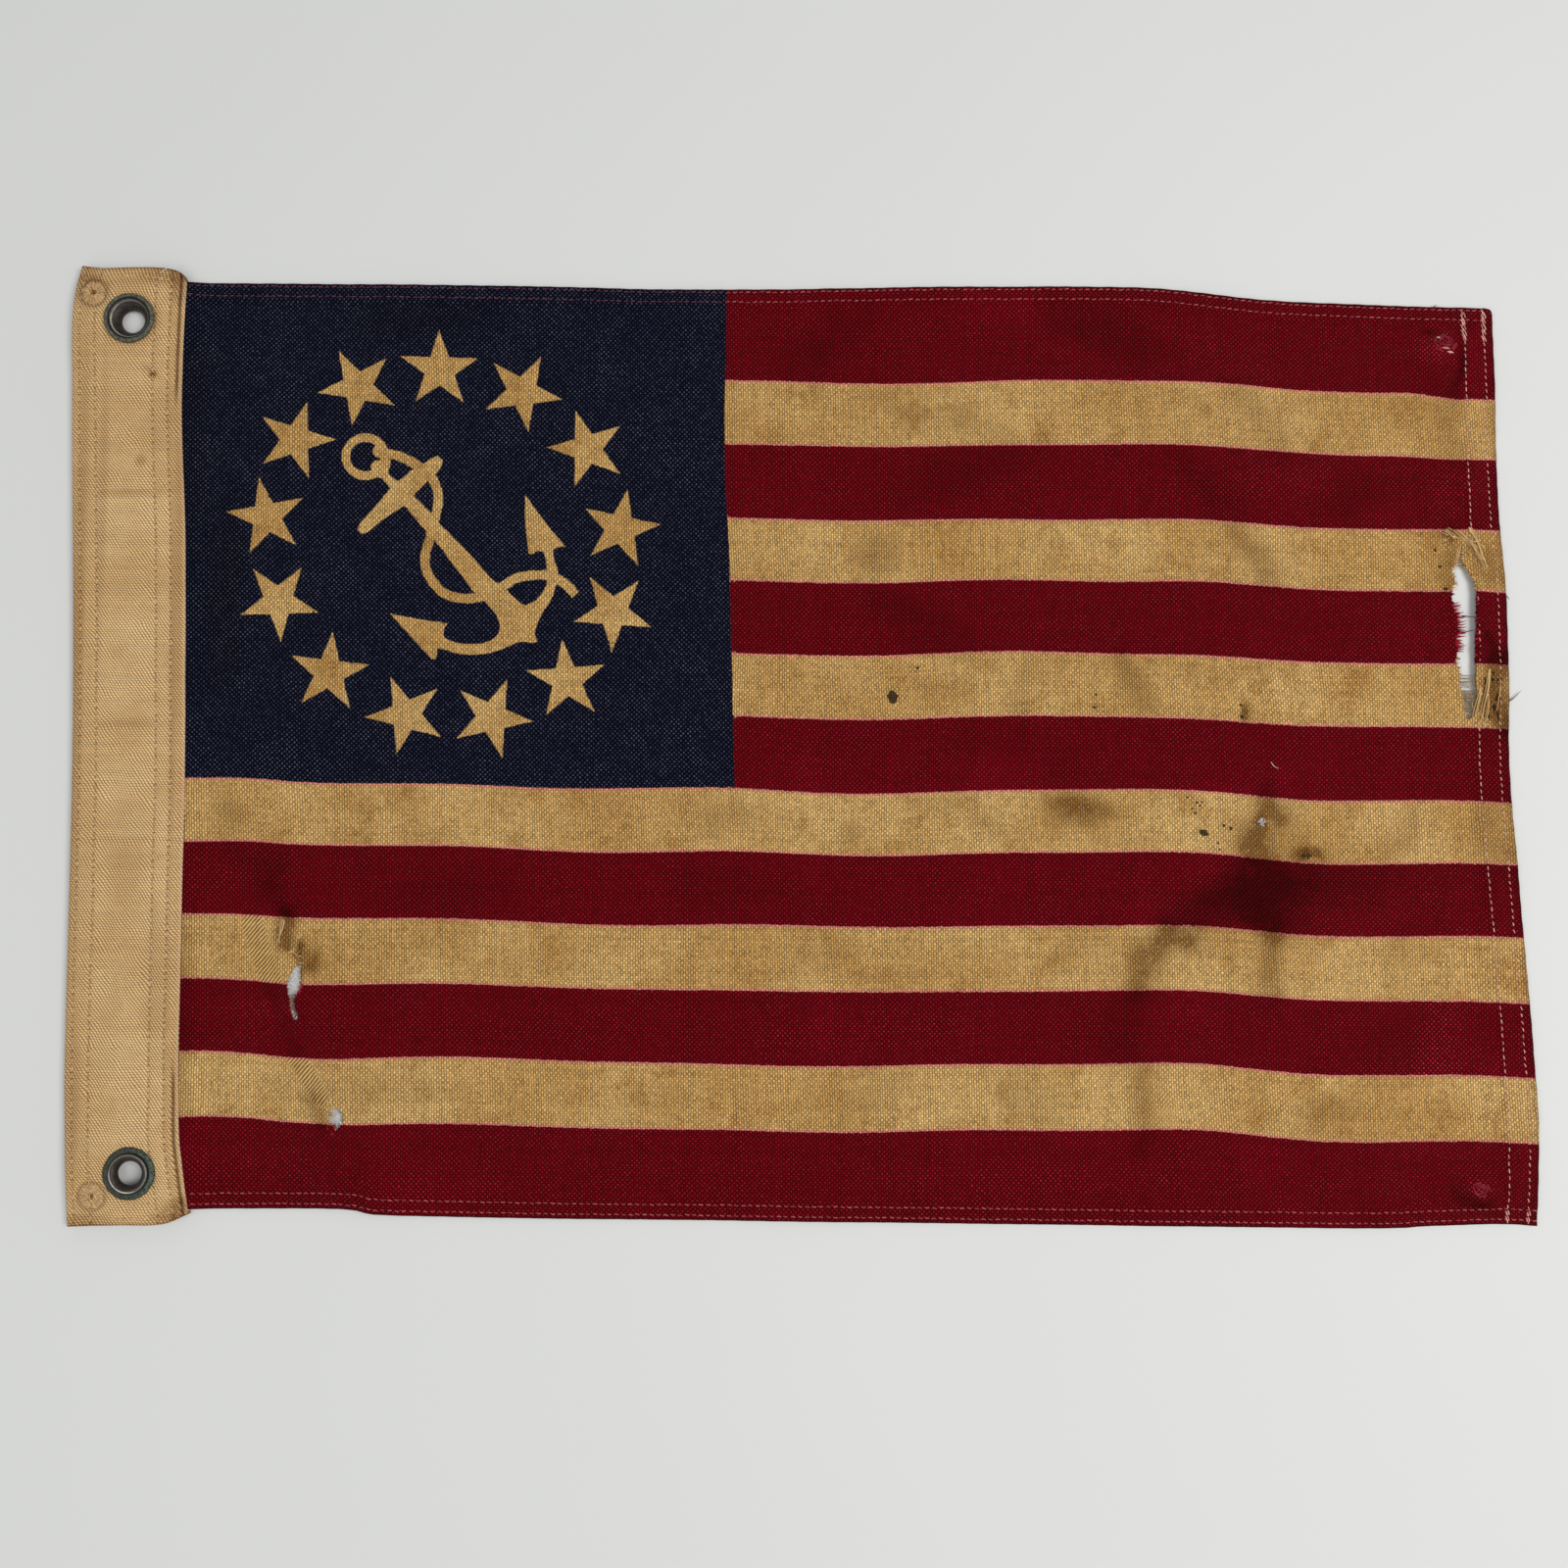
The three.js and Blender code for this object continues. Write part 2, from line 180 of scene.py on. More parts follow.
# Closed outlines made of smooth runs. Each starts in the corner where the one before it ends.
STOCK = [
    [(-19.1, 17.8)], [(-11.6, 24.5), (-7.5, 26.9)],
    [(-5.2, 28.5), (-3.3, 28.8), (-2, 27.4), (-2.4, 25.5), (-4.5, 22.8)],
    [(-10.9, 16.5), (-14.6, 12.4)],
    [(-20.8, 8.2), (-26.5, 3.6), (-27.9, 3.6), (-28.9, 4.7), (-28.6, 6.3)],
]
SHACKLE = [
    [(-21.3, 21.4), (-18, 17.3)], [(-15.5, 20)], [(-19.4, 23.1), (-18.7, 26.7), (-19.5, 30)],
    [(-23.8, 22.2)],
]
SHANK = [
    [(-13.8, 12.3), (-7.2, 4.5), (-3.3, 0.3), (1.7, -6.3), (8.8, -15.5), (12.6, -18.9), (16, -23)],
    [(24.5, -20)],
    [(21.3, -17), (17.2, -13), (14.2, -11.3), (7.6, -3.7), (-2.4, 6.4), (-5.5, 10.3), (-12, 16.4)],
    [(-15.6, 13.6)],
]
ARMS = [
    [(0.7, -30.9), (4.2, -32), (8.5, -32.3), (12.8, -31.7), (16, -29.8), (17.2, -27.1), (17, -25.5),
     (15.4, -22.2), (12.6, -18.9)],
    [(19.4, -15.1)],
    [(21.3, -17), (24, -19.4), (26.2, -19.5), (29.4, -17.3), (31.5, -14), (32, -11.9), (31.9, -8.3),
     (31.4, -4.2), (30.3, -1.6)],
    [(33.8, -1.4)],
    [(34.4, -5.3), (35.5, -9.1), (35, -13.5), (33.2, -18.4), (31, -21.7), (29.2, -25.5), (28.4, -28.7),
     (29.1, -31.5)],
    [(27.9, -32), (24.1, -31.6), (20.9, -32.6), (17.2, -34.2), (12.9, -35.3), (8.6, -35.7),
     (3.7, -35.3), (-0.1, -34.1), (-2.9, -33.6)],
    [(-1.2, -29.3)],
]
LEFT_FLUKE = [
    [(-8.9, -24.2), (0.3, -25.5)], [(-0.9, -27.7), (-0.6, -30)], [(-2.9, -33.7)],
    [(-2.9, -35.3), (-3.6, -37.2), (-4.5, -37.2)], [(-18.1, -22.5)],
]
RIGHT_FLUKE = [
    [(31.6, 6.7), (37.9, -0.8)], [(35.4, -0.8), (33.7, -2)], [(30.3, -2.3)],
    [(29.2, -2.1), (27.3, -3), (26.2, -3.2)], [(24.9, 5.5), (24.5, 16.3)],
]

# ---------------------------------------------------------------- damage
# Each tear has a left and a right side, both from the top down.
FLY_TEAR = (
    [(441.7, 216.8), (440.7, 213.5), (439.9, 210.4), (438.7, 208.4), (438.5, 206.8), (439.3, 204.2),
     (438.3, 200.3), (438.4, 196.1), (439.7, 190.3), (439.4, 179.9), (439.3, 176.8), (439.9, 172),
     (440.4, 166), (441, 161.6), (442.6, 159.4)],
    [(441.7, 216.8), (442, 212.6), (442.4, 209.4), (444, 206.2), (445.3, 203), (445.7, 197.7),
     (445.3, 190.3), (444.8, 177.2), (445, 168), (444.8, 163), (443.8, 160.2), (442.6, 159.4)],
)
HOIST_TEAR = (
    [(71.7, 89.4), (71.9, 84.6), (71.7, 81.8), (70.3, 80.4), (68.9, 77.6), (68.7, 75.1), (69.1, 72.4),
     (69.3, 70.3), (69.8, 67.6), (70.5, 65.6), (71.3, 63.9)],
    [(71.7, 89.4), (72.6, 84.6), (72.7, 79.4), (73.0, 75.1), (71.7, 72.4), (71.0, 70.3), (71.6, 67.8),
     (72.7, 65.6), (71.3, 63.9)],
)
LOW_HOLE = (
    [(83.4, 37.4), (82.3, 35.8), (82.6, 33.2), (84.6, 30)],
    [(83.4, 37.4), (85.6, 37.0), (87.0, 34.6), (86.4, 31.8), (84.6, 30)],
)
PINHOLE = (
    [(376, 127.8), (375.3, 127), (375.2, 125.9), (376, 125)],
    [(376, 127.8), (376.7, 127), (376.8, 125.8), (376, 125)],
)
# name, sides, left and right raggedness
TEARS = [
    ("fly", FLY_TEAR, 1.5, 0.35), ("hoist", HOIST_TEAR, 0.4, 0.45), ("low", LOW_HOLE, 0.6, 0.6),
    ("pin", PINHOLE, 0.2, 0.2),
]

# Brown smudges, and painted shade beside the fly hem's inner row where the cloth folds: centre, half
# length, half width, turn, strength.
SMUDGES_AND_SHADE = [
    ((376.5, 126.5), 11, 10, 0, 0.3), ((390.4, 115.7), 6.5, 2.2, 0, 0.9),
    ((382, 102.5), 22, 11, 10, 0.32), ((401, 106), 30, 9, 4, 0.3), ((365, 106), 14, 7, 30, 0.3),
    ((320.4, 131), 18, 6, 0, 0.3), ((421, 87), 12, 8, 0, 0.16), ((393, 35), 16, 8, 30, 0.2),
    ((370.3, 162.3), 5, 1.7, 88, 1.0), ((450, 208), 9, 6, 90, 0.4), ((437.5, 219), 3.5, 1.6, 0, 0.8),
    ((425.1, 203), 3, 1.5, 0, 0.5), ((429, 201.8), 2.5, 1.2, 0, 0.5), ((262, 260), 18, 5, -30, 0.2),
    ((284, 255.6), 18, 5, -12, 0.25), ((254.4, 212.5), 9, 8, 90, 0.36), ((277, 169), 14, 7, 0, 0.16),
    ((50.5, 129.5), 9, 6, -30, 0.32), ((76.6, 82), 5, 3.4, 70, 0.5), ((66, 92), 7, 4, 80, 0.4),
    ((246.7, 123), 9, 5, 20, 0.22), ((275.3, 132.8), 16, 4, 0, 0.25), ((289.5, 125), 10, 5, -40, 0.26),
    ((316, 129), 12, 6, -20, 0.2), ((237, 85), 12, 6, 20, 0.16), ((254, 43), 16, 7, 30, 0.2),
    ((207, 128), 18, 6, 20, 0.2), ((316, 87), 14, 6, 40, 0.16), ((30, 250), 10, 60, 0, 0.3),
    ((36, 60), 4, 60, 0, 0.3), ((95, 43), 34, 9, 0, 0.16), ((300, 40), 20, 8, -30, 0.2),
    ((434.5, 285), 3.5, 3, 0, 0.8), ((441.5, 273), 13, 2.2, 90, 0.75), ((439.5, 8.5), 6, 2, 10, 0.8),
    ((436.5, 12), 4, 3, 0, 0.5), ((410, 232), 22, 9, 10, 0.3), ((270, 190), 30, 9, -30, 0.36),
    ((330, 285), 28, 10, -20, 0.32), ((240, 282), 24, 10, 35, 0.34), ((285, 240), 34, 10, 20, 0.3),
    ((206, 106), 26, 9, 0, 0.2), ((360, 236), 20, 8, -40, 0.3), ((300, 150), 26, 9, -15, 0.22),
    ((330, 60), 18, 10, 80, 0.24), ((120, 105), 30, 9, 5, 0.2), ((60, 110), 16, 9, -40, 0.34),
    ((420, 60), 22, 10, 60, 0.18), ((110, 290), 30, 8, 5, 0.3), ((45, 200), 9, 40, 0, 0.3),
]
# Brown runs, and painted shade of soft folds and in the hoist tear's slit: route, half width, strength.
STAIN_AND_SHADE_RUNS = [
    ([(377, 135.5), (380.2, 131), (384.2, 128.9)], 3.6, 0.9),
    ([(374.6, 125.5), (372.7, 121), (374.6, 116.2)], 3.6, 0.85),
    ([(375.5, 114), (377.7, 107.7), (370.8, 103), (356.8, 99.9)], 8.2, 0.55),
    ([(377.7, 107.7), (386.4, 110.8), (394.1, 114.5)], 5.5, 0.38),
    ([(373.9, 100), (380.1, 93.7)], 6.5, 0.6),
    ([(336.8, 75), (337.5, 81.3), (341.3, 86.6), (347.5, 90.6)], 5.6, 0.85),
    ([(345, 90), (356.8, 92.5)], 3.5, 0.4), ([(378.9, 92), (378, 84.4), (377, 73)], 4.2, 0.6),
    ([(423.7, 128.5), (419.9, 120.8), (414.3, 116)], 3.6, 0.4), ([(448.5, 131), (449, 115)], 6, 0.35),
    ([(337.8, 48), (338.5, 39.3), (337.5, 28)], 4.2, 0.5), ([(314, 133.5), (325, 130.4)], 4.5, 0.4),
    ([(304, 176), (299.5, 164)], 4.5, 0.3), ([(331, 179), (336, 172), (340, 165)], 3.6, 0.5),
    ([(371, 219), (375, 212), (381, 205)], 4.5, 0.55),
    ([(372, 266), (378, 257), (385, 248)], 4.5, 0.34), ([(436, 268), (441, 245)], 6, 0.25),
    ([(66.8, 97), (66.2, 92), (67.4, 87)], 2.6, 1.1), ([(64, 110), (65.8, 98)], 2.2, 0.3),
    ([(72.3, 91), (72.4, 85), (73.4, 77)], 0.9, 1.1), ([(75, 86), (78, 80)], 2.6, 0.35),
    ([(76.5, 40), (79, 36.5), (80, 32)], 2.6, 0.6), ([(438, 222), (437.2, 203)], 2.4, 0.6),
    ([(452, 176), (451.8, 158.5)], 4.2, 1.9), ([(448.9, 188), (449, 179)], 1.4, 0.9),
    ([(375.2, 124.4), (376.8, 129)], 2.2, 0.5),
]
# Drawn threads lie in ribs: route of the band, half width, strength.
DRAWN = [
    ([(56.5, 96), (59.5, 87), (63.2, 76.5)], 3.4, 1.4), ([(63, 75), (68, 62), (71, 55)], 2.4, 0.8),
    ([(71.2, 53.6), (75.4, 47.5), (79.6, 40.4)], 2.6, 1.5), ([(345, 41), (345.5, 33)], 4, 0.5),
    ([(433.5, 268), (432, 258)], 5, 0.45), ([(210, 262), (211, 251)], 4.5, 0.4),
]
# Dark spots: centre, half length, half width, turn, strength.
SPOTS = [
    ((259.3, 166.6), 2.5, 1.8, 96, 2.0), ((352.6, 134.6), 0.5, 0.5, 0, 0.9),
    ((355.6, 132.9), 0.6, 0.45, 0, 0.9), ((357.2, 133.1), 0.5, 0.5, 0, 0.8),
    ((356.6, 131.9), 0.6, 0.4, 0, 0.9), ((354.1, 130.9), 0.5, 0.5, 0, 0.7),
    ((355, 129.6), 0.7, 0.5, 0, 0.8), ((357.7, 123.3), 2.1, 1.3, -30, 1.0),
    ((363.9, 125.6), 0.8, 0.6, 0, 0.9), ((366.1, 124.7), 0.8, 0.9, 0, 0.8),
    ((362.1, 120), 0.6, 0.5, 0, 0.8), ((362.5, 118), 0.6, 0.5, 0, 0.8),
    ((324.4, 167.4), 0.8, 0.4, 0, 0.8), ((323.7, 163.3), 0.9, 0.5, 0, 0.9),
    ((267.4, 176), 0.9, 0.5, 40, 0.7), ((246.5, 181), 0.7, 0.4, 0, 0.6),
    ((433.5, 214), 0.9, 0.6, 90, 0.8), ((434.8, 208.6), 0.8, 0.6, 0, 0.8),
    ((436.5, 201.4), 1.1, 0.6, 0, 0.9), ((390.4, 116), 3.0, 1.0, 0, 0.4),
    ((370.4, 160.3), 1.0, 0.8, 0, 0.8), ((370.2, 164), 0.8, 0.6, 90, 0.7),
]


def specks(low, high, count):
    """Small dark specks, longer than wide, scattered between two corners."""
    draw = random.Random(SEED + 36)
    found = []
    for _ in range(count):
        at = (draw.uniform(low[0], high[0]), draw.uniform(low[1], high[1]))
        long = draw.uniform(0.6, 1.5)
        found.append((at, long, 0.45 * long, 90 + draw.uniform(-25, 25), draw.uniform(0.45, 0.75)))
    return found


# Dirt ground into the fly hem beside the foot of its tear.
SPOTS += specks((446.8, 159), (453.4, 174), 24)
# Dyed yarns rubbed pale: centre, half length, half width, turn, strength.
SMALL_RUBS = [((275.4, 155.7), 0.7, 0.5, 0, 1.6), ((145.8, 115.5), 0.8, 4, 0, 1.0)]
RUBS = SMALL_RUBS + [
    ((434, 279), 9, 6, 0, 0.8), ((440, 12), 8, 5, 0, 0.8), ((430, 60), 24, 9, 80, 0.8),
    ((430, 40), 34, 22, 0, 0.5), ((448, 240), 14, 8, 90, 0.4), ((438, 232), 12, 8, 80, 0.45),
    ((52, 110), 14, 7, 0, 0.35), ((58, 68), 16, 6, 0, 0.4), ((60, 20), 26, 9, 0, 0.3),
    ((146.5, 118.5), 1.5, 0.8, 0, 0.7), ((250, 60), 40, 8, 5, 0.35), ((120, 12), 60, 6, 0, 0.25),
    ((300, 15), 60, 7, 0, 0.3), ((380, 236), 40, 8, -5, 0.3), ((365, 278), 22, 8, -30, 0.3),
    ((400, 100), 40, 8, 0, 0.2),
]


# ---------------------------------------------------------------- plane geometry
def smooth(points, step=EDGE_STEP, closed=False):
    """A Catmull-Rom curve through the points, sampled about every step."""
    p = np.asarray(points, float)
    if len(p) < 3 and not closed:
        count = max(1, round(np.hypot(*(p[1] - p[0])) / step))
        return p[0] + (p[1] - p[0]) * np.linspace(0, 1, count + 1)[:, None]
    if closed:
        p = np.vstack([p[-1:], p, p[:2]])
    else:
        p = np.vstack([2 * p[0] - p[1], p, 2 * p[-1] - p[-2]])
    line = []
    for k in range(1, len(p) - 2):
        a, b, c, d = p[k - 1 : k + 3]
        count = max(1, round(np.linalg.norm(c - b) / step))
        t = np.linspace(0, 1, count, endpoint=False)[:, None]
        line.append(
            0.5 * (2 * b + (c - a) * t + (2 * a - 5 * b + 4 * c - d) * t**2
                   + (3 * b - a - 3 * c + d) * t**3)
        )
    if not closed:
        line.append(p[-2:-1])
    return np.vstack(line)


def lengths(line):
    """How far along a polyline each of its points is."""
    return np.concatenate([[0], np.cumsum(np.linalg.norm(np.diff(line, axis=0), axis=1))])


def point_at(line, run, wanted):
    """Where a polyline is at these of its run's values."""
    return np.stack([np.interp(wanted, run, axis) for axis in line.T], -1)


def even(line, step):
    """The same polyline with points about every step along it."""
    run = lengths(line)
    return point_at(line, run, np.linspace(0, run[-1], max(2, round(run[-1] / step) + 1)))


def height_on(line, x):
    """How far up a line is at these places along it."""
    order = np.argsort(line[:, 0])
    return np.interp(x, line[order, 0], line[order, 1])


def across_on(line, y):
    """How far over a line is at these heights."""
    return height_on(line[:, ::-1], y)


def left_of(line):
    """Unit vectors to the left of a line at its points."""
    tangent = np.gradient(line, axis=0)
    return np.stack([-tangent[:, 1], tangent[:, 0]], 1) / np.linalg.norm(tangent, axis=1)[:, None]


def bell(distance, width):
    return np.exp(-((distance / width) ** 2))


def away_from(at, points):
    """How far each point is from one place."""
    return np.hypot(*(points - at).T)


def nearest(points, line):
    """Distance to a polyline, length along it, and the gap vector, for each point."""
    a, run = line[:-1], np.diff(line, axis=0)
    squared = (run**2).sum(1)
    starts = lengths(line)[:-1]
    distance = np.empty(len(points))
    along = np.empty(len(points))
    gaps = np.empty((len(points), 2))
    chunk = max(1, 2_000_000 // len(a))
    for first in range(0, len(points), chunk):
        p = points[first : first + chunk, None]
        t = np.clip(((p - a) * run).sum(2) / squared, 0, 1)
        gap = p - (a + t[..., None] * run)
        k = (gap**2).sum(2).argmin(1)
        rows = np.arange(len(k))
        gaps[first : first + chunk] = gap[rows, k]
        distance[first : first + chunk] = np.linalg.norm(gap[rows, k], axis=1)
        along[first : first + chunk] = starts[k] + t[rows, k] * np.sqrt(squared[k])
    return distance, along, gaps


def inside(points, outline):
    """Whether each point is inside a closed outline."""
    x, y = points.T
    odd = np.zeros(len(points), bool)
    near = (y > outline[:, 1].min()) & (y < outline[:, 1].max())
    near &= (x > outline[:, 0].min()) & (x < outline[:, 0].max())
    px, py = x[near], y[near]
    found = np.zeros(len(px), bool)
    for (x0, y0), (x1, y1) in zip(outline, np.roll(outline, -1, axis=0)):
        if y0 != y1:
            found ^= ((y0 > py) != (y1 > py)) & (px < (x1 - x0) * (py - y0) / (y1 - y0) + x0)
    odd[near] = found
    return odd


def depth_in(points, outline):
    """Distance to a closed outline, positive inside it and at least -REACH outside."""
    depth = np.full(len(points), -REACH)
    low, high = outline.min(0) - REACH, outline.max(0) + REACH
    near = ((points > low) & (points < high)).all(1)
    if near.any():
        ring = np.vstack([outline, outline[:1]])
        distance = nearest(points[near], ring)[0]
        sign = np.where(inside(points[near], outline), 1, -1)
        depth[near] = np.maximum(sign * distance, -REACH)
    return depth


def smoothstep(x, low, high):
    t = np.clip((x - low) / (high - low), 0, 1)
    return t * t * (3 - 2 * t)


def blobs(points, features, power=2):
    """The sum of soft round-edged blobs at the points."""
    total = np.zeros(len(points))
    for (cx, cy), long, wide, turn, strength in features:
        c, s = math.cos(math.radians(turn)), math.sin(math.radians(turn))
        x, y = points[:, 0] - cx, points[:, 1] - cy
        r2 = ((x * c + y * s) / long) ** 2 + ((y * c - x * s) / wide) ** 2
        total += strength * np.clip(1 - r2, 0, 1) ** power
    return total


def runs(points, features):
    """The sum of soft bands along routes at the points."""
    total = np.zeros(len(points))
    for route, half, strength in features:
        away = nearest(points, even(smooth(route, 1.0), 1.0))[0]
        total += strength * bell(away, half)
    return total


def ripples(points, wavelength, seed, count=9):
    """Smooth unrepeating waves between about -1 and 1."""
    draw = np.random.default_rng(seed)
    total = np.zeros(len(points))
    for _ in range(count):
        angle, phase = draw.uniform(0, 2 * math.pi, 2)
        k = 2 * math.pi / (wavelength * draw.uniform(0.7, 1.6))
        total += np.sin(k * (points[:, 0] * math.cos(angle) + points[:, 1] * math.sin(angle)) + phase)
    return total / math.sqrt(count)


# ---------------------------------------------------------------- the lie of the cotton
TOP_EDGE = smooth(FIELD_TOP)
BOTTOM_EDGE = smooth(FIELD_BOTTOM)
FLY_EDGE = smooth(FIELD_FLY)
HOIST_EDGE = smooth(FIELD_HOIST)
CORNER = smooth(FIELD_CORNER, 0.5)

# Rows of stitches: distance from the edge of the hem.
TOP_ROWS = (1.1, 4.3)
BOTTOM_ROWS = (1.6, 4.8)
FLY_ROWS = (3.1, 9.6)
ROW_DIP = 0.28
HEMS = [
    (TOP_EDGE, HEM_WIDTH, TOP_ROWS), (BOTTOM_EDGE, HEM_WIDTH, BOTTOM_ROWS),
    (FLY_EDGE, FLY_HEM_WIDTH, FLY_ROWS),
]


def hoist_distance(points):
    return points[:, 0] - across_on(HOIST_EDGE, points[:, 1])


def lift(points):
    """How far the brass lifts cloth at these points."""
    total = np.zeros(len(points))
    for at, height in LIFTS:
        r = away_from(at, points)
        total += height * (1 - smoothstep(r, LIFT_FLAT, LIFT_REACH))
    return total


def field_lie(points):
    """Underside, thickness and painted edge shade of the cotton, and how close its hems are."""
    from_hoist = hoist_distance(points)
    free = smoothstep(from_hoist, TUCK + 3, TUCK + 14)
    under = UNDER + TUCKED * (1 - smoothstep(from_hoist, TUCK, 20)) + lift(points)
    under += blobs(points, SWELLS)
    waves = 0.5 + 0.5 * ripples(points, 58, SEED) / 1.6
    under += free * (0.75 * np.clip(waves, 0, 1.3) ** 1.5 + 0.10 * (1 + ripples(points, 21, SEED + 1)))
    for route, width, height in CREASES:
        distance = nearest(points, smooth(route))[0]
        under += free * (height * bell(distance, width) + abs(height) * bell(distance, 2.6 * width))
    hem = np.zeros(len(points))
    round_off = np.ones(len(points))
    dark = np.zeros(len(points))
    for number, (edge, width, rows) in enumerate(HEMS):
        distance, along, _ = nearest(points, edge)
        close = 1 - smoothstep(distance, width - 0.4, width + 0.7)
        hem = np.maximum(hem, close)
        inset = 1 - np.clip(distance, 0, 0.7) / 0.7
        round_off = np.minimum(round_off, np.sqrt(np.clip(1 - inset**2, 0, 1)))
        near = 1 - smoothstep(distance, width, width + 9)
        phase = 2 * math.pi * along / 7.4 + 2.2 * np.sin(along / 23 + number) + 1.3 * np.sin(along / 9.1)
        under += free * near * 0.13 * (1 + np.sin(phase + 0.5 * distance))
        # Painted shade where each hem's edge turns down.
        dark = np.maximum(dark, 1 - smoothstep(distance, 0.15, 1.1))
        for row in rows:
            dip = bell(distance - row, 0.42)
            hem -= free * dip * ROW_DIP * 0.9
            # Painted shade in the troughs of the stitch rows.
            dark = np.maximum(dark, 0.35 * dip)
    hem *= 0.15 + 0.85 * smoothstep(from_hoist, TUCK, 18)
    thick = COTTON + (HEM - COTTON) * hem
    return under, thick, round_off, dark


def cotton_top(points):
    """Height of the cotton's upper face."""
    under, thick, round_off, _ = field_lie(points)
    return under + thick * (0.5 + 0.5 * round_off)


# ---------------------------------------------------------------- the weave, as the cloth lies
def stripe_line(height):
    x, drift = smooth(STRIPE_DRIFT).T
    droop = DROOP * smoothstep(x, *DROOP_FROM_X) * smoothstep(height, *DROOP_FROM_Y)
    line = np.stack([x, height + drift - droop], 1)
    line[:, 1] += 0.3 * ripples(line, 75, SEED + 15)
    return line


STRIPE_LINES = [TOP_EDGE] + [stripe_line(height) for height in STRIPE_HEIGHTS] + [BOTTOM_EDGE]


def printed_stripes(points):
    """Signed distance to the stripes' edges, positive on red."""
    x, y = points.T
    lines = np.array([height_on(line, x) for line in STRIPE_LINES[1:-1]])
    number = (y[None] < lines).sum(0)
    distance = np.abs(y[None] - lines).min(0)
    return np.where(number % 2 == 0, 1, -1) * np.minimum(distance, REACH)


def weave_place(points):
    """Where each point is in the weave: millimetres along the weft and along the warp."""
    x, y = points.T
    drift = []
    for line in STRIPE_LINES:
        level = line[:, 1] + line[:, 0] * ROW_FALL
        drift.append(height_on(np.stack([line[:, 0], level - level.mean()], 1), x))
    lines = np.array([height_on(line, x) for line in STRIPE_LINES])
    drift = np.array(drift)
    below = np.clip((y[None] < lines).sum(0), 1, len(lines) - 1)
    rows = np.arange(len(points))
    upper, lower = lines[below - 1, rows], lines[below, rows]
    share = np.clip((upper - y) / np.maximum(upper - lower, 1e-6), 0, 1)
    moved = drift[below - 1, rows] * (1 - share) + drift[below, rows] * share
    along_weft = x + y * COLUMN_LEAN + 0.5 * ripples(points, 70, SEED + 5)
    along_warp = y + x * ROW_FALL - moved + 0.35 * ripples(points, 60, SEED + 6)
    return np.stack([along_weft, along_warp], 1)


# ---------------------------------------------------------------- the canton's art
def star(number):
    """One star of the ring, a point of it outwards."""
    out = math.pi / 2 - 2 * math.pi * number / STARS
    x, y = RING_RADIUS * math.cos(out), RING_RADIUS * math.sin(out)
    middle = np.array(RING_CENTRE) + (x - y * RING_LEAN, y - x * RING_FALL)
    corners = []
    for k in range(10):
        radius = STAR_RADIUS if k % 2 == 0 else STAR_WAIST
        angle = out + math.pi * k / 5
        x, y = radius * math.cos(angle), radius * math.sin(angle)
        corners.append(middle + (x - y * STAR_SKEW, y - x * STAR_SKEW))
    outline = [smooth([corners[k], corners[(k + 1) % 10]], 1.6)[:-1] for k in range(10)]
    return np.vstack(outline)


def circle(centre, radius, count):
    angle = np.linspace(0, 2 * math.pi, count, endpoint=False)
    ring = np.stack([np.cos(angle), np.sin(angle)], 1) * radius + centre
    return ring + np.array(ART_CENTRE)


def outline_of(parts):
    """The closed outline of these runs."""
    starts = [part[-1] for part in parts[-1:] + parts[:-1]]
    line = [smooth([start] + part, 1.3)[:-1] for start, part in zip(starts, parts)]
    return np.vstack(line) + np.array(ART_CENTRE)


def rope_outline():
    """The cable as a band with a blunt end."""
    line = even(smooth(ROPE, 0.8), 1.2)
    normal = left_of(line)
    half = ROPE_HALF * (1 + 0.05 * np.sin(np.arange(len(line)) * 1.7))[:, None]
    return np.vstack([line + normal * half, (line - normal * half)[::-1]]) + np.array(ART_CENTRE)


STAR_OUTLINES = [star(k) for k in range(STARS)]
ANCHOR_OUTLINES = [
    outline_of(parts) for parts in (STOCK, SHACKLE, SHANK, ARMS, LEFT_FLUKE, RIGHT_FLUKE)
] + [rope_outline()] + [circle(at, radius, 16) for at, radius in KNOTS]
RING_OUT = circle(RING_AT, RING_OUTER, 36)
RING_IN = circle(RING_AT, RING_INNER, 26)


def left_white(points):
    """Signed distance to the unprinted art of the canton, positive on it."""
    depth = np.full(len(points), -REACH)
    for outline in STAR_OUTLINES + ANCHOR_OUTLINES:
        depth = np.maximum(depth, depth_in(points, outline))
    ring = np.minimum(depth_in(points, RING_OUT), -depth_in(points, RING_IN))
    return np.maximum(depth, ring)


CANTON_EDGE = smooth(CANTON_FLY)


def past_canton(points):
    """Distance past the canton's fly edge."""
    return points[:, 0] - across_on(CANTON_EDGE, points[:, 1])


def printed(points):
    """Signed distances to the edges of the red and the navy printing, positive on each."""
    past = past_canton(points)
    over = points[:, 1] - height_on(STRIPE_LINES[FIRST_UNDER_CANTON + 1], points[:, 0])
    canton = np.clip(np.minimum(-past, over), -REACH, REACH)
    navy = np.minimum(canton, -left_white(points))
    beside = np.maximum(past + INK_OVERLAP, -over)
    red = np.minimum(printed_stripes(points), np.clip(beside, -REACH, REACH))
    return red, navy


# ---------------------------------------------------------------- meshes
RIM_SPREAD = 0.9  # width of a rim in the map of a sheet
UPPER_SHARE = 0.8  # how much of that map's height the upper face has


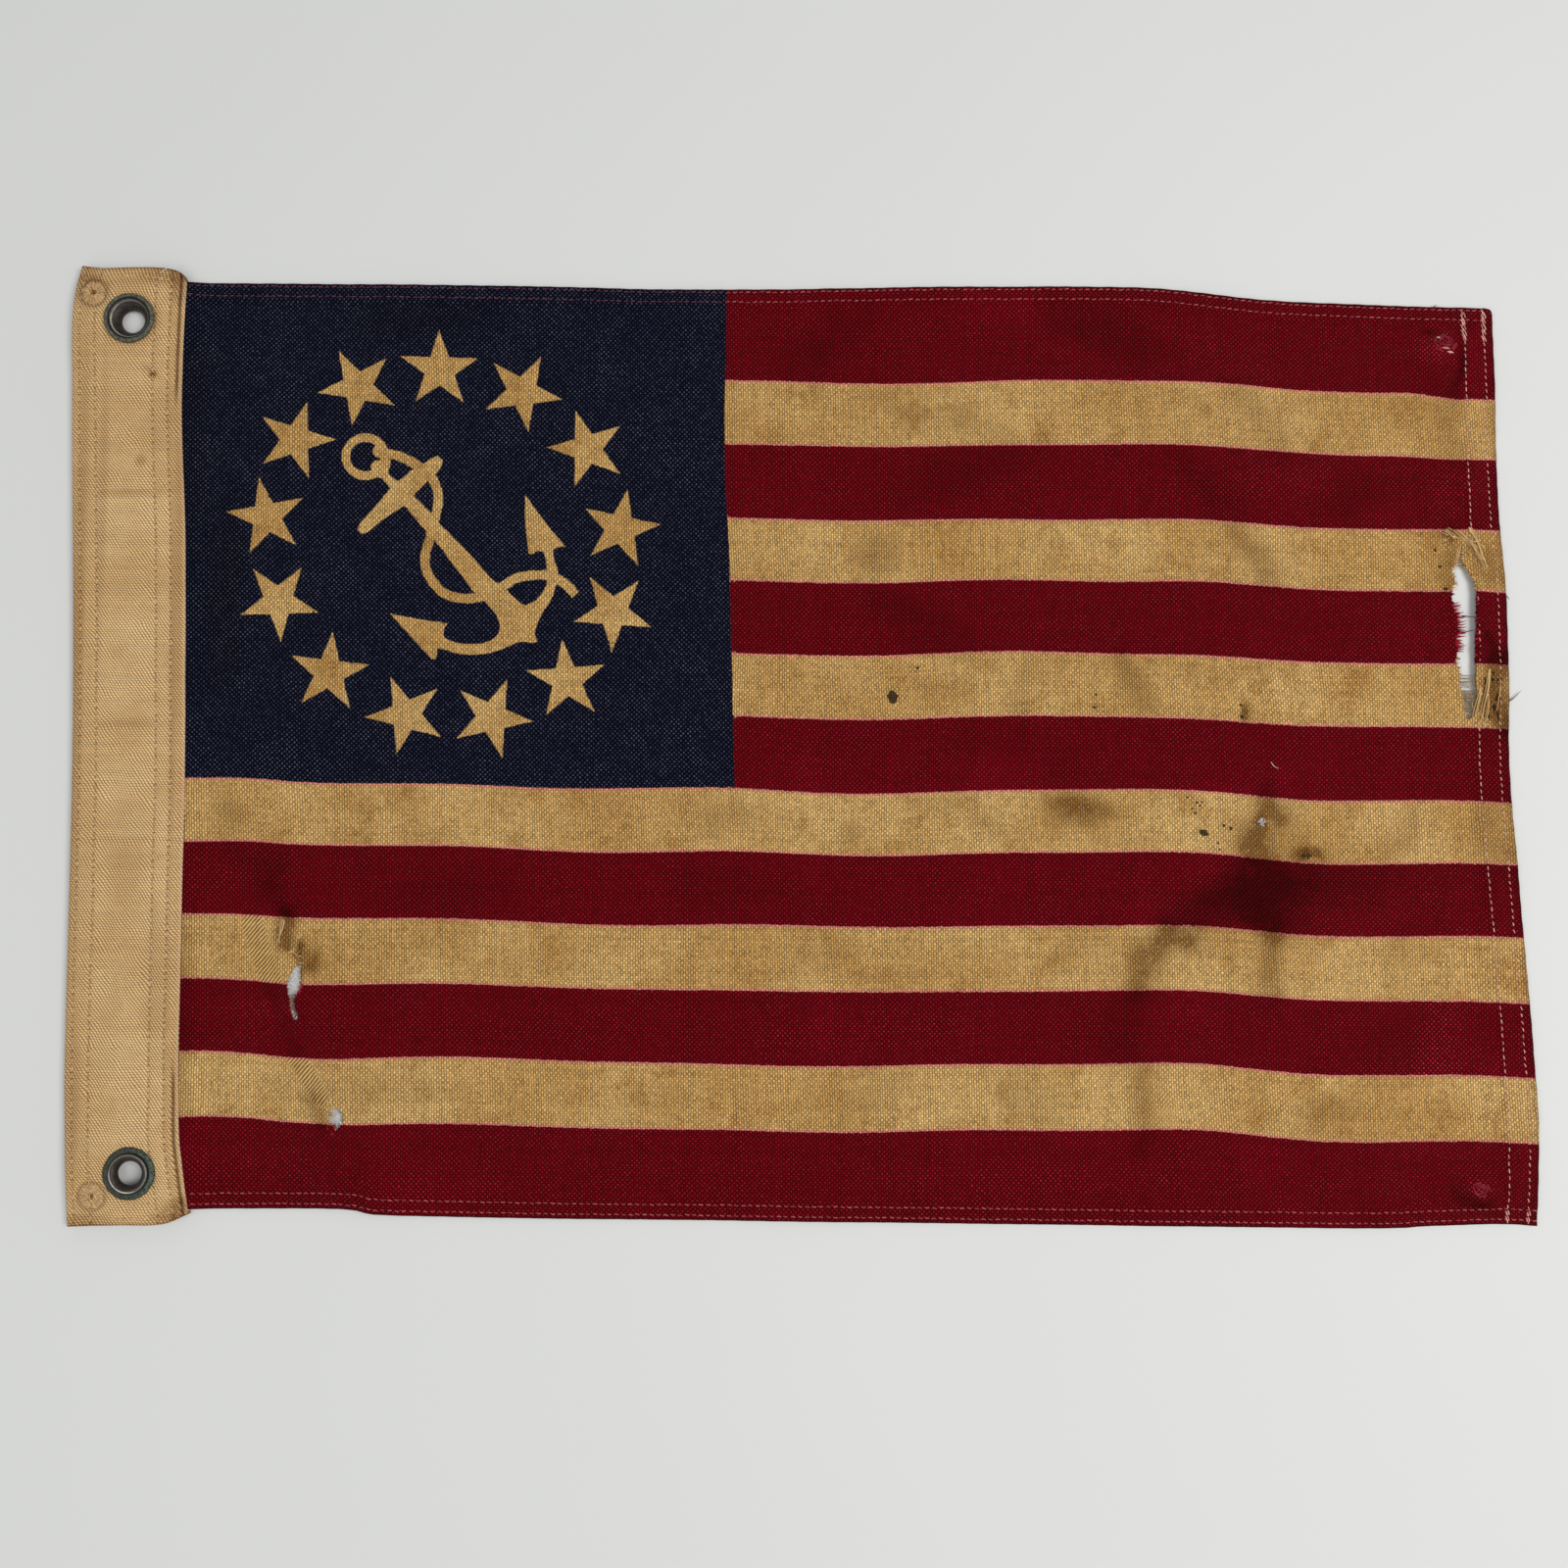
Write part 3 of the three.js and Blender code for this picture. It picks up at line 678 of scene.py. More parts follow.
def mesh_piece(name, vertices, faces, material, at=None):
    """A smooth mesh object, from millimetres in the flag's axes or round its own place in them."""
    mesh = bpy.data.meshes.new(name)
    placed = to_frame(vertices) if at is None else vertices * MM
    mesh.from_pydata(placed.tolist(), [], [tuple(face) for face in faces])
    mesh.validate()
    mesh.polygons.foreach_set("use_smooth", [True] * len(mesh.polygons))
    mesh.materials.append(material)
    mesh.update()
    piece = bpy.data.objects.new(name, mesh)
    if at is not None:
        piece.location = to_frame([(*at, 0)])[0]
    bpy.context.scene.collection.objects.link(piece)
    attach(piece, "root")
    return piece


def thin_solid(upper, lower, faces):
    """Vertices and faces of the closed sheet between two surfaces with the same faces."""
    count = len(upper)
    ways = {way for face in faces.tolist() for way in zip(face, face[1:] + face[:1])}
    rim = [(b, a, a + count, b + count) for a, b in sorted(ways) if (b, a) not in ways]
    below = [[k + count for k in reversed(face)] for face in faces.tolist()]
    return np.vstack([upper, lower]), faces.tolist() + below + rim


def give_values(mesh, name, values):
    attribute = mesh.attributes.new(name, "FLOAT", "POINT")
    attribute.data.foreach_set("value", np.asarray(values, np.float32))


def give_map(mesh, name, places):
    """A UV map from one place for each vertex."""
    uv = mesh.uv_layers.new(name=name)
    loops = np.empty(len(mesh.loops), np.int32)
    mesh.loops.foreach_get("vertex_index", loops)
    uv.data.foreach_set("uv", np.asarray(places, np.float32)[loops].ravel())


def give_carry_map(mesh, count):
    """A map without overlaps of a flat sheet made by thin_solid: the upper face in UPPER_SHARE of its
    height, the under face in the rest, and the rim spread outwards from the upper face."""
    corners = np.empty(len(mesh.loops), np.int32)
    mesh.loops.foreach_get("vertex_index", corners)
    starts, totals = (np.empty(len(mesh.polygons), np.int32) for _ in range(2))
    mesh.polygons.foreach_get("loop_start", starts)
    mesh.polygons.foreach_get("loop_total", totals)
    face = np.repeat(np.arange(len(totals)), totals)
    below = corners >= count
    flat = np.array([vertex.co[:2] for vertex in mesh.vertices]) / MM
    low, high = flat.min(0) - 2 * RIM_SPREAD, flat.max(0) + 2 * RIM_SPREAD
    places = flat[corners]
    is_rim = (np.bincount(face, below) > 0) & (np.bincount(face, below) < totals)
    for start in starts[is_rim]:
        quad = np.arange(start, start + 4)
        top = quad[~below[quad]]
        along = places[top[1]] - places[top[0]]
        if (top[1] - top[0]) > 1:
            along = -along
        out = np.array([-along[1], along[0]]) / max(np.linalg.norm(along), 1e-6)
        places[quad[below[quad]]] += out * RIM_SPREAD
    places = (places - low) / (high - low)
    under = (np.bincount(face, below) == totals)[face]
    below_share = UPPER_SHARE + 0.01 + places[:, 1] * (0.98 - UPPER_SHARE)
    places[:, 1] = np.where(under, below_share, places[:, 1] * UPPER_SHARE)
    mesh.uv_layers.new(name="OFBake").data.foreach_set("uv", places.astype(np.float32).ravel())


def tubes(name, paths, radii, material, sides=6):
    """Many thin round yarns in one mesh, of one radius or of one for each path along it."""
    vertices, faces, tone = [], [], []
    if np.isscalar(radii):
        radii = [radii] * len(paths)
    for number, (path, radius) in enumerate(zip(paths, radii)):
        path = np.asarray(path, float)
        radius = np.broadcast_to(radius, len(path))
        tangent = np.gradient(path, axis=0)
        tangent /= np.maximum(np.linalg.norm(tangent, axis=1)[:, None], 1e-9)
        side = np.cross(tangent, (0, 0, 1.0))
        weak = np.linalg.norm(side, axis=1) < 1e-3
        side[weak] = (1, 0, 0)
        side /= np.linalg.norm(side, axis=1)[:, None]
        up = np.cross(side, tangent)
        base = len(vertices)
        for k in range(len(path)):
            for j in range(sides):
                angle = 2 * math.pi * j / sides
                offset = side[k] * math.cos(angle) + up[k] * math.sin(angle)
                vertices.append(path[k] + radius[k] * offset)
        for k in range(len(path) - 1):
            for j in range(sides):
                a, b = base + k * sides + j, base + k * sides + (j + 1) % sides
                faces.append((a, b, b + sides, a + sides))
        faces.append(tuple(base + j for j in reversed(range(sides))))
        last = base + (len(path) - 1) * sides
        faces.append(tuple(last + j for j in range(sides)))
        tone += [(number * 0.618) % 1] * (len(path) * sides)
    piece = mesh_piece(name, np.array(vertices), faces, material)
    give_values(piece.data, "Tone", tone)
    return piece


# ---------------------------------------------------------------- materials
class Wire:
    """An output of a material's node. Arithmetic on it adds nodes."""

    def __init__(self, finish, socket):
        self.finish, self.socket = finish, socket

    def __add__(self, other):
        return self.finish.math("ADD", self, other)

    def __sub__(self, other):
        return self.finish.math("SUBTRACT", self, other)

    def __mul__(self, other):
        return self.finish.math("MULTIPLY", self, other)


class Finish:
    """One material and short calls that add nodes to it. Inputs are wires or plain values."""

    def __init__(self, name, roughness=0.9):
        self.material = bpy.data.materials.new(name)
        self.material.use_nodes = True
        self.tree = self.material.node_tree
        self.shader = self.tree.nodes["Principled BSDF"]
        self.shader.inputs["Roughness"].default_value = roughness

    def put(self, value, socket):
        if isinstance(value, Wire):
            self.tree.links.new(value.socket, socket)
        else:
            socket.default_value = value

    def node(self, kind, *values, out=0, **settings):
        """A new node with these values or wires in its first inputs. Returns one of its outputs."""
        made = self.tree.nodes.new(kind)
        for key, value in settings.items():
            setattr(made, key, value)
        for value, socket in zip(values, made.inputs):
            self.put(value, socket)
        return Wire(self, made.outputs[out])

    def math(self, operation, a, b=0.0):
        return self.node("ShaderNodeMath", a, b, operation=operation)

    def span(self, value, low, high, to_low=0.0, to_high=1.0, smooth_ends=True):
        ends = "SMOOTHSTEP" if smooth_ends else "LINEAR"
        return self.node("ShaderNodeMapRange", value, low, high, to_low, to_high, interpolation_type=ends)

    def mix_value(self, share, a, b):
        return a * self.math("SUBTRACT", 1.0, share) + b * share

    def mix(self, share, a, b, blend="MIX"):
        made = self.node("ShaderNodeMix", share, out=2, data_type="RGBA", blend_type=blend)
        for value, socket in zip((a, b), made.socket.node.inputs[6:8]):
            self.put(value if isinstance(value, Wire) else (*value, 1), socket)
        return made

    def darken(self, share, colour, tint):
        """The colour multiplied by a tint, over a share of it."""
        return self.mix(share, colour, self.mix(1.0, colour, tint, "MULTIPLY"))

    def lit(self, colour, light):
        return self.mix(1.0, colour, self.node("ShaderNodeCombineXYZ", light, light, light), "MULTIPLY")

    def value(self, name):
        """A value that the mesh carries at its points."""
        return self.node("ShaderNodeAttribute", out="Fac", attribute_name=name)

    def place(self):
        return self.node("ShaderNodeTexCoord", out="Object")

    def place_mm(self):
        return self.scaled(self.place(), (1 / MM, 1 / MM, 1 / MM))

    def scaled(self, vector, by):
        made = self.node("ShaderNodeMapping", vector)
        made.socket.node.inputs["Scale"].default_value = by
        return made

    def split(self, vector):
        parts = self.node("ShaderNodeSeparateXYZ", vector).socket.node.outputs
        return [Wire(self, part) for part in parts]

    def noise(self, vector, scale, detail=2.0, rough=0.5, stretch=None):
        if stretch:
            vector = self.scaled(vector, stretch)
        made = self.node("ShaderNodeTexNoise", vector, out="Fac", noise_dimensions="3D")
        inputs = made.socket.node.inputs
        for name, value in (("Scale", scale), ("Detail", detail), ("Roughness", rough)):
            inputs[name].default_value = value
        return made

    def speck(self, x, y=None):
        """A random number for each whole number, or pair of them."""
        size = "1D" if y is None else "2D"
        made = self.node("ShaderNodeTexWhiteNoise", out="Value", noise_dimensions=size)
        if y is None:
            self.put(x, made.socket.node.inputs["W"])
        else:
            self.put(self.node("ShaderNodeCombineXYZ", x, y), made.socket.node.inputs["Vector"])
        return made

    def bump(self, height, distance, strength=1.0):
        made = self.node("ShaderNodeBump")
        inputs = made.socket.node.inputs
        inputs["Strength"].default_value = strength
        inputs["Distance"].default_value = distance
        self.put(height, inputs["Height"])
        self.put(made, self.shader.inputs["Normal"])

    def colour(self, value):
        self.put(value, self.shader.inputs["Base Color"])

    def fuzz(self, weight, tint=(1, 1, 1)):
        """The sheen of loose fibres on cloth."""
        for name, value in (("Weight", weight), ("Roughness", 0.5), ("Tint", (*tint, 1))):
            self.shader.inputs["Sheen " + name].default_value = value
        self.shader.inputs["Specular IOR Level"].default_value = 0.05


def shade(red, green, blue):
    """A colour from screen values 0 to 255."""
    return tuple(((c / 255 + 0.055) / 1.055) ** 2.4 if c > 10 else c / 3294.6 for c in (red, green, blue))


CREAM = shade(201, 155, 91)
CREAM_LIGHT = shade(219, 177, 112)
CREAM_BROWN = shade(179, 130, 69)
PINK = shade(224, 138, 124)
CRIMSON = shade(98, 0, 9)
CRIMSON_DARK = shade(77, 0, 4)
CRIMSON_RED = shade(116, 0, 18)
CRIMSON_PALE = shade(178, 44, 62)
NAVY = shade(7, 10, 29)
NAVY_DARK = shade(4, 6, 18)
NAVY_PALE = shade(100, 102, 124)
STAIN_AND_SHADE_TINT = (0.30, 0.21, 0.13)
PIT_SHADE = (0.34, 0.24, 0.15)
EDGE_SHADE = (0.2, 0.16, 0.16)
SPOT = shade(38, 30, 20)


# Ribs of drawn threads rise to the fly at fifty degrees.
RIB_NORMAL = (math.sin(math.radians(50)), -math.cos(math.radians(50)))
RIB_PITCH = 1.0


def weave_signal(finish, u, v, warp_pitch, weft_pitch):
    """Plain weave: +1 on a weft crown, -1 on a warp crown, 0 between threads. The next values are 1
    along the middle of each warp and each weft thread and 0 in the gaps beside it, and the last two
    number the threads."""
    across = u * (1 / warp_pitch)
    up = v * (1 / weft_pitch)
    over = finish.math("SINE", across * math.pi)
    along = finish.math("SINE", up * math.pi)
    warp_rib = finish.math("ABSOLUTE", over)
    weft_rib = finish.math("ABSOLUTE", along)
    return (over * along, warp_rib, weft_rib, finish.math("FLOOR", across), finish.math("FLOOR", up))


def printed_cotton():
    finish = Finish("printed cotton", 0.92)
    finish.fuzz(0.015, (0.9, 0.85, 0.8))
    weave = finish.node("ShaderNodeUVMap", uv_map="Weave")
    across, up, _ = finish.split(weave)
    # Threads aren't quite straight, nor of one width.
    bend_u = finish.noise(weave, 1.0, 2, 0.6, stretch=(0.9, 0.35, 1)) - 0.5
    bend_v = finish.noise(weave, 1.0, 2, 0.6, stretch=(0.35, 1.1, 1)) - 0.5
    u = across + bend_u * 0.55
    v = up + bend_v * 0.55
    wave, warp_rib, weft_rib, column, row = weave_signal(finish, u, v, THREAD, THREAD)
    corner = finish.span(warp_rib, 0.6, 0.0) * finish.span(weft_rib, 0.6, 0.0)
    crown = finish.math("POWER", finish.math("ABSOLUTE", wave), 0.6)
    cell = finish.speck(column, row)
    warp_tone, weft_tone = finish.speck(column), finish.speck(row + 0.5)
    thread_tone = weft_tone * 0.5 + warp_tone * 0.5
    slub = finish.noise(weave, 1.0, 2, stretch=(0.09, 1.9, 1))
    slub_warp = finish.noise(weave, 1.0, 2, stretch=(1.9, 0.09, 1))
    place = finish.place_mm()
    broad = finish.noise(place, 0.022, 3, 0.6)
    patchy = finish.noise(place, 0.07, 4, 0.65)
    fine = finish.noise(place, 0.45, 3, 0.6)

    # The dye's edges follow the threads.
    jitter = (cell - 0.5) * 0.26 + (warp_tone - 0.5) * 0.12
    red_depth = finish.value("Red") + jitter
    navy_depth = finish.value("Navy") + jitter
    red = finish.span(red_depth, -0.14, 0.14)
    navy = finish.span(navy_depth, -0.14, 0.14)
    bleed = finish.span(red_depth, -1.05, -0.3) * finish.span(patchy, 0.25, 0.7, 0.65, 1.0)

    # The unprinted cloth: yellowed in patches, browner in others.
    ground = finish.mix(finish.span(broad, 0.35, 0.65), CREAM, CREAM_LIGHT)
    ground = finish.mix(finish.span(patchy, 0.48, 0.72, 0, 0.75), ground, CREAM_BROWN)
    ground = finish.mix(bleed, ground, PINK)
    dye = finish.mix(finish.span(patchy, 0.4, 0.75, 0, 0.45), CRIMSON, CRIMSON_DARK)
    dye = finish.mix(finish.span(broad, 0.5, 0.75, 0, 0.6), dye, CRIMSON_RED)
    ink = finish.mix(finish.span(patchy, 0.35, 0.7, 0, 0.5), NAVY, NAVY_DARK)

    # Where the dye is rubbed off the crowns of the weft, and a painted highlight on the weft's crowns all
    # over.
    wear_and_highlight = finish.value("Rub") + finish.span(patchy, 0.3, 0.75, 0.42, 0.85)
    rubbed_and_highlit = finish.span(wave, 0.15, 0.85) * wear_and_highlight
    rubbed_and_highlit = rubbed_and_highlit * finish.span(cell, 0, 1, 0.3, 1.0, False)
    dye = finish.mix(rubbed_and_highlit * 0.62, dye, CRIMSON_PALE)
    ink = finish.mix(rubbed_and_highlit * 0.75, ink, NAVY_PALE)

    colour = finish.mix(red, ground, dye)
    colour = finish.mix(navy, colour, ink)
    tone = slub * 0.2 + slub_warp * 0.2 + thread_tone * 0.16
    # Painted light and shade of the weave: the weft's crowns brightest, and the warp showing as ribs.
    # Drawn threads lie in bare ribs, painted lit and shaded the same way.
    proud = finish.span(wave, -0.5, 0.9, 0.0, 1.0, False) * 0.5
    ribbed = finish.math("POWER", warp_rib, 0.8) * 0.42
    weave_shading = proud + ribbed + weft_rib * 0.16 - 0.08
    # Where it isn't printed the threads part wider, over gaps in painted shade.
    open_weave_shading = proud * 1.15 + ribbed * 1.8 + (cell - 0.5) * 0.3 + weft_rib * 0.1
    open_weave_shading = finish.math("MAXIMUM", open_weave_shading - 0.34, 0.07)
    weave_shading = finish.mix_value(finish.math("MAXIMUM", red, navy * 0.5), open_weave_shading, weave_shading)
    x, y, _ = finish.split(place)
    rib_run = x * RIB_NORMAL[0] + y * RIB_NORMAL[1] + (patchy - 0.5) * 1.6
    ribs = finish.math("SINE", rib_run * (2 * math.pi / RIB_PITCH))
    drawn = finish.math("MINIMUM", finish.value("Drawn"), 1.0)
    drawn = finish.span(drawn + (fine - 0.5) * 0.3, 0.2, 0.8)
    weave_shading = finish.mix_value(drawn, weave_shading, finish.span(ribs, -0.9, 0.9, 0.04, 0.92))
    # The threads' own tone and the weave's painted light and shade multiply the colour.
    tone = tone + weave_shading + (fine - 0.5) * 0.2
    colour = finish.lit(colour, tone)
    # Painted shade in the pits where the threads cross.
    pit_shade = corner * finish.span(finish.noise(weave, 1.5, 2, 0.7), 0.3, 0.7, 0.25, 0.95)
    colour = finish.darken(pit_shade, colour, PIT_SHADE)
    # Brown stains, with painted shade of folds and of the hoist tear's slit, darken the colour.
    grime_and_shade = finish.value("GrimeAndShade") * finish.span(fine, 0.25, 0.75, 0.5, 1.15, False)
    grime_and_shade = grime_and_shade * finish.span(cell, 0, 1, 0.65, 1.35, False)
    colour = finish.darken(finish.math("MINIMUM", grime_and_shade, 0.9), colour, STAIN_AND_SHADE_TINT)
    spot = finish.span(finish.value("Spot") + (cell - 0.5) * 0.5, 0.2, 0.55)
    colour = finish.mix(spot * 0.92, colour, SPOT)
    # Painted shade along the cotton's hemmed edges and in its stitch rows.
    colour = finish.darken(finish.value("EdgeShade") * 0.6, colour, EDGE_SHADE)
    finish.colour(colour)
    height = finish.mix_value(drawn, crown + slub * 0.5, ribs)
    finish.bump(height, 0.00018, 1.0)
    return finish.material


def yarn(name, colour, dark, roughness=0.85):
    """A spun thread whose tone differs from one length to the next."""
    finish = Finish(name, roughness)
    finish.fuzz(0.25)
    place = finish.place_mm()
    fibres = finish.noise(place, 5.0, 2)
    blend = finish.value("Tone") * 0.5 + fibres * 0.6
    finish.colour(finish.mix(finish.span(blend, 0.2, 0.9), dark, colour))
    finish.bump(fibres, 0.00008, 0.7)
    return finish.material


# ---------------------------------------------------------------- the printed field
def jagged(side, towards, reach, draw):
    """A torn side: threads stick out of it towards the hole, every thread or two."""
    line = smooth(side, 0.4)
    result = [line[0]]
    y = line[0, 1]
    while True:
        y -= draw.uniform(0.35, 0.8)
        if y <= line[-1, 1] + 0.5:
            break
        x = across_on(line, y)
        out = draw.random() ** 1.6 * reach if len(result) % 2 else draw.uniform(-0.2, 0.1)
        result.append((x + towards * out, y))
    result.append(line[-1])
    return np.array(result)


def tear_outlines():
    found = {}
    for number, (name, (left, right), rag_left, rag_right) in enumerate(TEARS):
        draw = random.Random(SEED + number)
        a = jagged(left, 1, rag_left, draw)
        b = jagged(right, -1, rag_right, draw)
        b[:, 0] = np.maximum(b[:, 0], across_on(a, b[:, 1]) + 0.08)
        b[0], b[-1] = a[0], a[-1]
        found[name] = np.vstack([a, b[-2:0:-1]])
    return found


TEAR_OUTLINES = tear_outlines()


def field_outline():
    ways = (BOTTOM_EDGE, FLY_EDGE, CORNER[::-1], TOP_EDGE[::-1], HOIST_EDGE[::-1])
    return np.vstack([way[:-1] for way in ways])


def offset_rows():
    """Points in rows beside the hemmed edges, so that each hem has its own shape."""
    rows = []
    for edge, width, stitched in HEMS:
        line = even(edge, EDGE_STEP)
        inward = left_of(line) * (-1 if edge is TOP_EDGE else 1)
        offsets = {0.2, 0.5, width - 0.4, width + 0.2, width + 0.8}
        for row in stitched:
            offsets |= {row - 0.5, row, row + 0.5}
        for offset in sorted(offsets):
            rows.append(line + inward * offset)
    return np.vstack(rows)


def thin_out(points, fixed, limit):
    """The points that are at least limit away from the fixed ones."""
    tree = KDTree(len(fixed))
    for k, (x, y) in enumerate(fixed):
        tree.insert((x, y, 0), k)
    tree.balance()
    return np.array([p for p in points if tree.find((p[0], p[1], 0))[2] > limit])


def plan_edges(outline):
    """The points and edges that the cotton's triangles must keep: outlines and printed lines."""
    loops = [outline, *TEAR_OUTLINES.values(), *STAR_OUTLINES, *ANCHOR_OUTLINES, RING_OUT, RING_IN]
    chains = []
    for k, line in enumerate(STRIPE_LINES[1:-1]):
        start = UNDER_HEADING if k >= FIRST_UNDER_CANTON else CANTON_SIDE
        chains.append(even(line[line[:, 0] > start], EDGE_STEP))
    chains.append(even(CANTON_EDGE, EDGE_STEP))
    fixed, edges = [], []
    for line, closed in [(loop, True) for loop in loops] + [(chain, False) for chain in chains]:
        if not closed:
            line = line[inside(line, outline)]
        first = len(fixed)
        fixed += line.tolist()
        edges += [(first + k, first + k + 1) for k in range(len(line) - 1)]
        if closed:
            edges.append((len(fixed) - 1, first))
    return np.array(fixed), edges


def fine_points():
    """More points round small spots and beside the tears."""
    fine = []
    for (cx, cy), long, wide, turn, _ in SPOTS + SMALL_RUBS:
        if long < 4:
            c, s = math.cos(math.radians(turn)), math.sin(math.radians(turn))
            for ring in (0, 0.5, 1.0, 1.35):
                angle = np.linspace(0, 2 * math.pi, 1 if ring == 0 else 9, endpoint=False) + ring
                a, b = long * ring * np.cos(angle), wide * ring * np.sin(angle)
                fine.append(np.stack([cx + a * c - b * s, cy + a * s + b * c], 1))
    for loop in TEAR_OUTLINES.values():
        out = loop - loop.mean(0)
        for grow in (1.0, 2.2):
            fine.append(loop + grow * out / np.linalg.norm(out, axis=1)[:, None])
    return np.vstack(fine)


def grid_points(outline):
    """An uneven grid of points in staggered rows."""
    low, high = outline.min(0), outline.max(0)
    draw = np.random.default_rng(SEED)
    gx, gy = np.meshgrid(np.arange(low[0], high[0], GRID), np.arange(low[1], high[1], GRID))
    gx = gx + (np.arange(gx.shape[0]) % 2)[:, None] * GRID / 2
    return np.stack([gx.ravel(), gy.ravel()], 1) + draw.uniform(-0.2, 0.2, (gx.size, 2))


def triangles(points, edges, outline):
    """The triangles between points that keep these edges, inside the outline and out of the tears."""
    result = delaunay_2d_cdt([Vector(p) for p in points], edges, [], 0, 1e-5, False)
    found = np.array([tuple(p) for p in result[0]])
    faces = np.array(result[2])
    centre = found[faces].mean(1)
    keep = inside(centre, outline)
    for loop in TEAR_OUTLINES.values():
        keep &= ~inside(centre, loop)
    return found, faces[keep]


def field_plan():
    """Points of the cotton and the triangles between them, seen from above."""
    outline = field_outline()
    points, edges = plan_edges(outline)
    rows, grid = offset_rows(), grid_points(outline)
    rows, grid = rows[inside(rows, outline)], grid[inside(grid, outline)]
    for more, limit in ((rows, 0.16), (fine_points(), 0.25), (grid, 0.31 * GRID + 0.35)):
        points = np.vstack([points, thin_out(more, points, limit)])
    found, faces = triangles(points, edges, outline)
    # A triangle with all its corners on a printed edge gets a point of its own in the middle.
    red, navy = printed(found)
    flat = (np.abs(navy[faces]) < 0.03).all(1) | (np.abs(red[faces]) < 0.03).all(1)
    return triangles(np.vstack([points, found[faces[flat]].mean(1)]), edges, outline)


def in_use(points, faces):
    """Only the points that faces use, and the faces renumbered to them."""
    used = np.unique(faces)
    renumber = np.full(len(points), -1)
    renumber[used] = np.arange(len(used))
    return used, renumber[faces]


def make_field(material):
    points, faces = field_plan()
    used, faces = in_use(points, faces)
    points = points[used]
    under, thick, round_off, edge = field_lie(points)
    # Torn edges are raised a little and frayed thin.
    torn = np.full(len(points), 9.0)
    for loop in TEAR_OUTLINES.values():
        torn = np.minimum(torn, nearest(points, np.vstack([loop, loop[:1]]))[0])
    under += 0.45 * bell(torn, 1.6) * (1 + 0.6 * ripples(points, 6, SEED + 9))
    thick *= 1 - 0.35 * bell(torn, 0.6)
    middle, half = under + thick / 2, thick / 2 * np.maximum(round_off, 0.12)
    under_z = np.maximum(middle - half, 0.03)
    upper = np.column_stack([points, middle + half])
    lower = np.column_stack([points, under_z])
    piece = mesh_piece("printed_field", *thin_solid(upper, lower, faces), material)
    red, navy = printed(points)
    uneven = points + np.stack([ripples(points, 17, SEED + 12), ripples(points, 13, SEED + 13)], 1) * 1.3
    values = {
        "Red": red, "Navy": navy, "GrimeAndShade": 1.3 * blobs(uneven, SMUDGES_AND_SHADE, 1.1) + runs(uneven, STAIN_AND_SHADE_RUNS),
        "Spot": blobs(points, SPOTS, 0.6), "Rub": blobs(points, RUBS, 1.3), "EdgeShade": edge,
        "Drawn": runs(points, DRAWN),
    }
    for name, value in values.items():
        give_values(piece.data, name, np.tile(value, 2))
    give_map(piece.data, "Weave", np.tile(weave_place(points), (2, 1)))
    give_carry_map(piece.data, len(points))
    return piece


# ---------------------------------------------------------------- the canvas heading
FOLD_OUTER = STACK / 2
FOLD_INNER = FOLD_OUTER - CANVAS
HEADING_STEP = 0.73
HEADING_WIDTH, HEADING_LENGTH = 36.0, 306
LEFT_ROWS = (2.6, 7.8)  # stitches inside the folded edge
RIGHT_ROWS = (4.3, 9.0)  # and inside the sewn one
GROOVE = 1.6  # where the sewn edge is drawn down
GROOVE_FOOT, GROOVE_HEAD = (44, 54), (258, 268)  # heights between which it fades
STITCH_PITCH = 2.2
ROSETTES = [(2.2, 297.3), (9.7, 10.4)]
ROSETTE_RADIUS = 4.3
GROMMET_HOLE = 6.7

LEFT_EDGE = smooth(HEADING_LEFT)
RIGHT_EDGE = smooth(HEADING_RIGHT)
HEAD_EDGE = smooth(HEADING_TOP)
FOOT_EDGE = smooth(HEADING_BOTTOM)

# Brown smudges, with painted shade in the creases and the rosettes' holes: centre, half length, half
# width, turn, strength.
CANVAS_SMUDGES_AND_SHADE = [
    ((2.2, 297.3), 0.9, 0.9, 0, 1.4), ((9.7, 10.4), 0.9, 0.9, 0, 1.4), ((14.3, 301), 24, 5, 0, 0.22),
    ((2.2, 297.3), 8, 7, 0, 0.35), ((-1, 303), 6, 4, 0, 0.5), ((24, 303), 9, 3.5, 0, 0.45),
    ((29, 300), 4, 9, 0, 0.5), ((21.8, 270.6), 1.7, 1.6, 0, 1.3), ((20.5, 272.3), 2.6, 0.9, -30, 0.5),
    ((18.4, 242.6), 2.4, 2.6, 0, 0.5), ((0, 160), 2.6, 150, 0, 0.45), ((6.5, 230), 2.2, 60, 0, 0.3),
    ((31, 200), 2.5, 100, 0, 0.3), ((14.3, 288.5), 11, 11, 0, 0.2), ((21.7, 17.6), 11, 11, 0, 0.25),
    ((8, 3), 10, 3, 0, 0.5), ((36.5, 7), 6, 4, 20, 0.7), ((33, 4), 8, 2, 0, 0.5),
    ((15, 232), 16, 2, 0, 0.3), ((17, 158), 16, 2.5, 0, 0.3), ((18, 120), 9, 22, 0, 0.12),
    ((12, 60), 7, 18, 0, 0.15), ((28, 75), 5, 30, 0, 0.2), ((3, 40), 3, 34, 0, 0.3),
    ((25, 255), 8, 12, 0, 0.18),
]


def heading_sides(y):
    """Where the heading's left and right edges are at this height."""
    return across_on(LEFT_EDGE, y), across_on(RIGHT_EDGE, y)


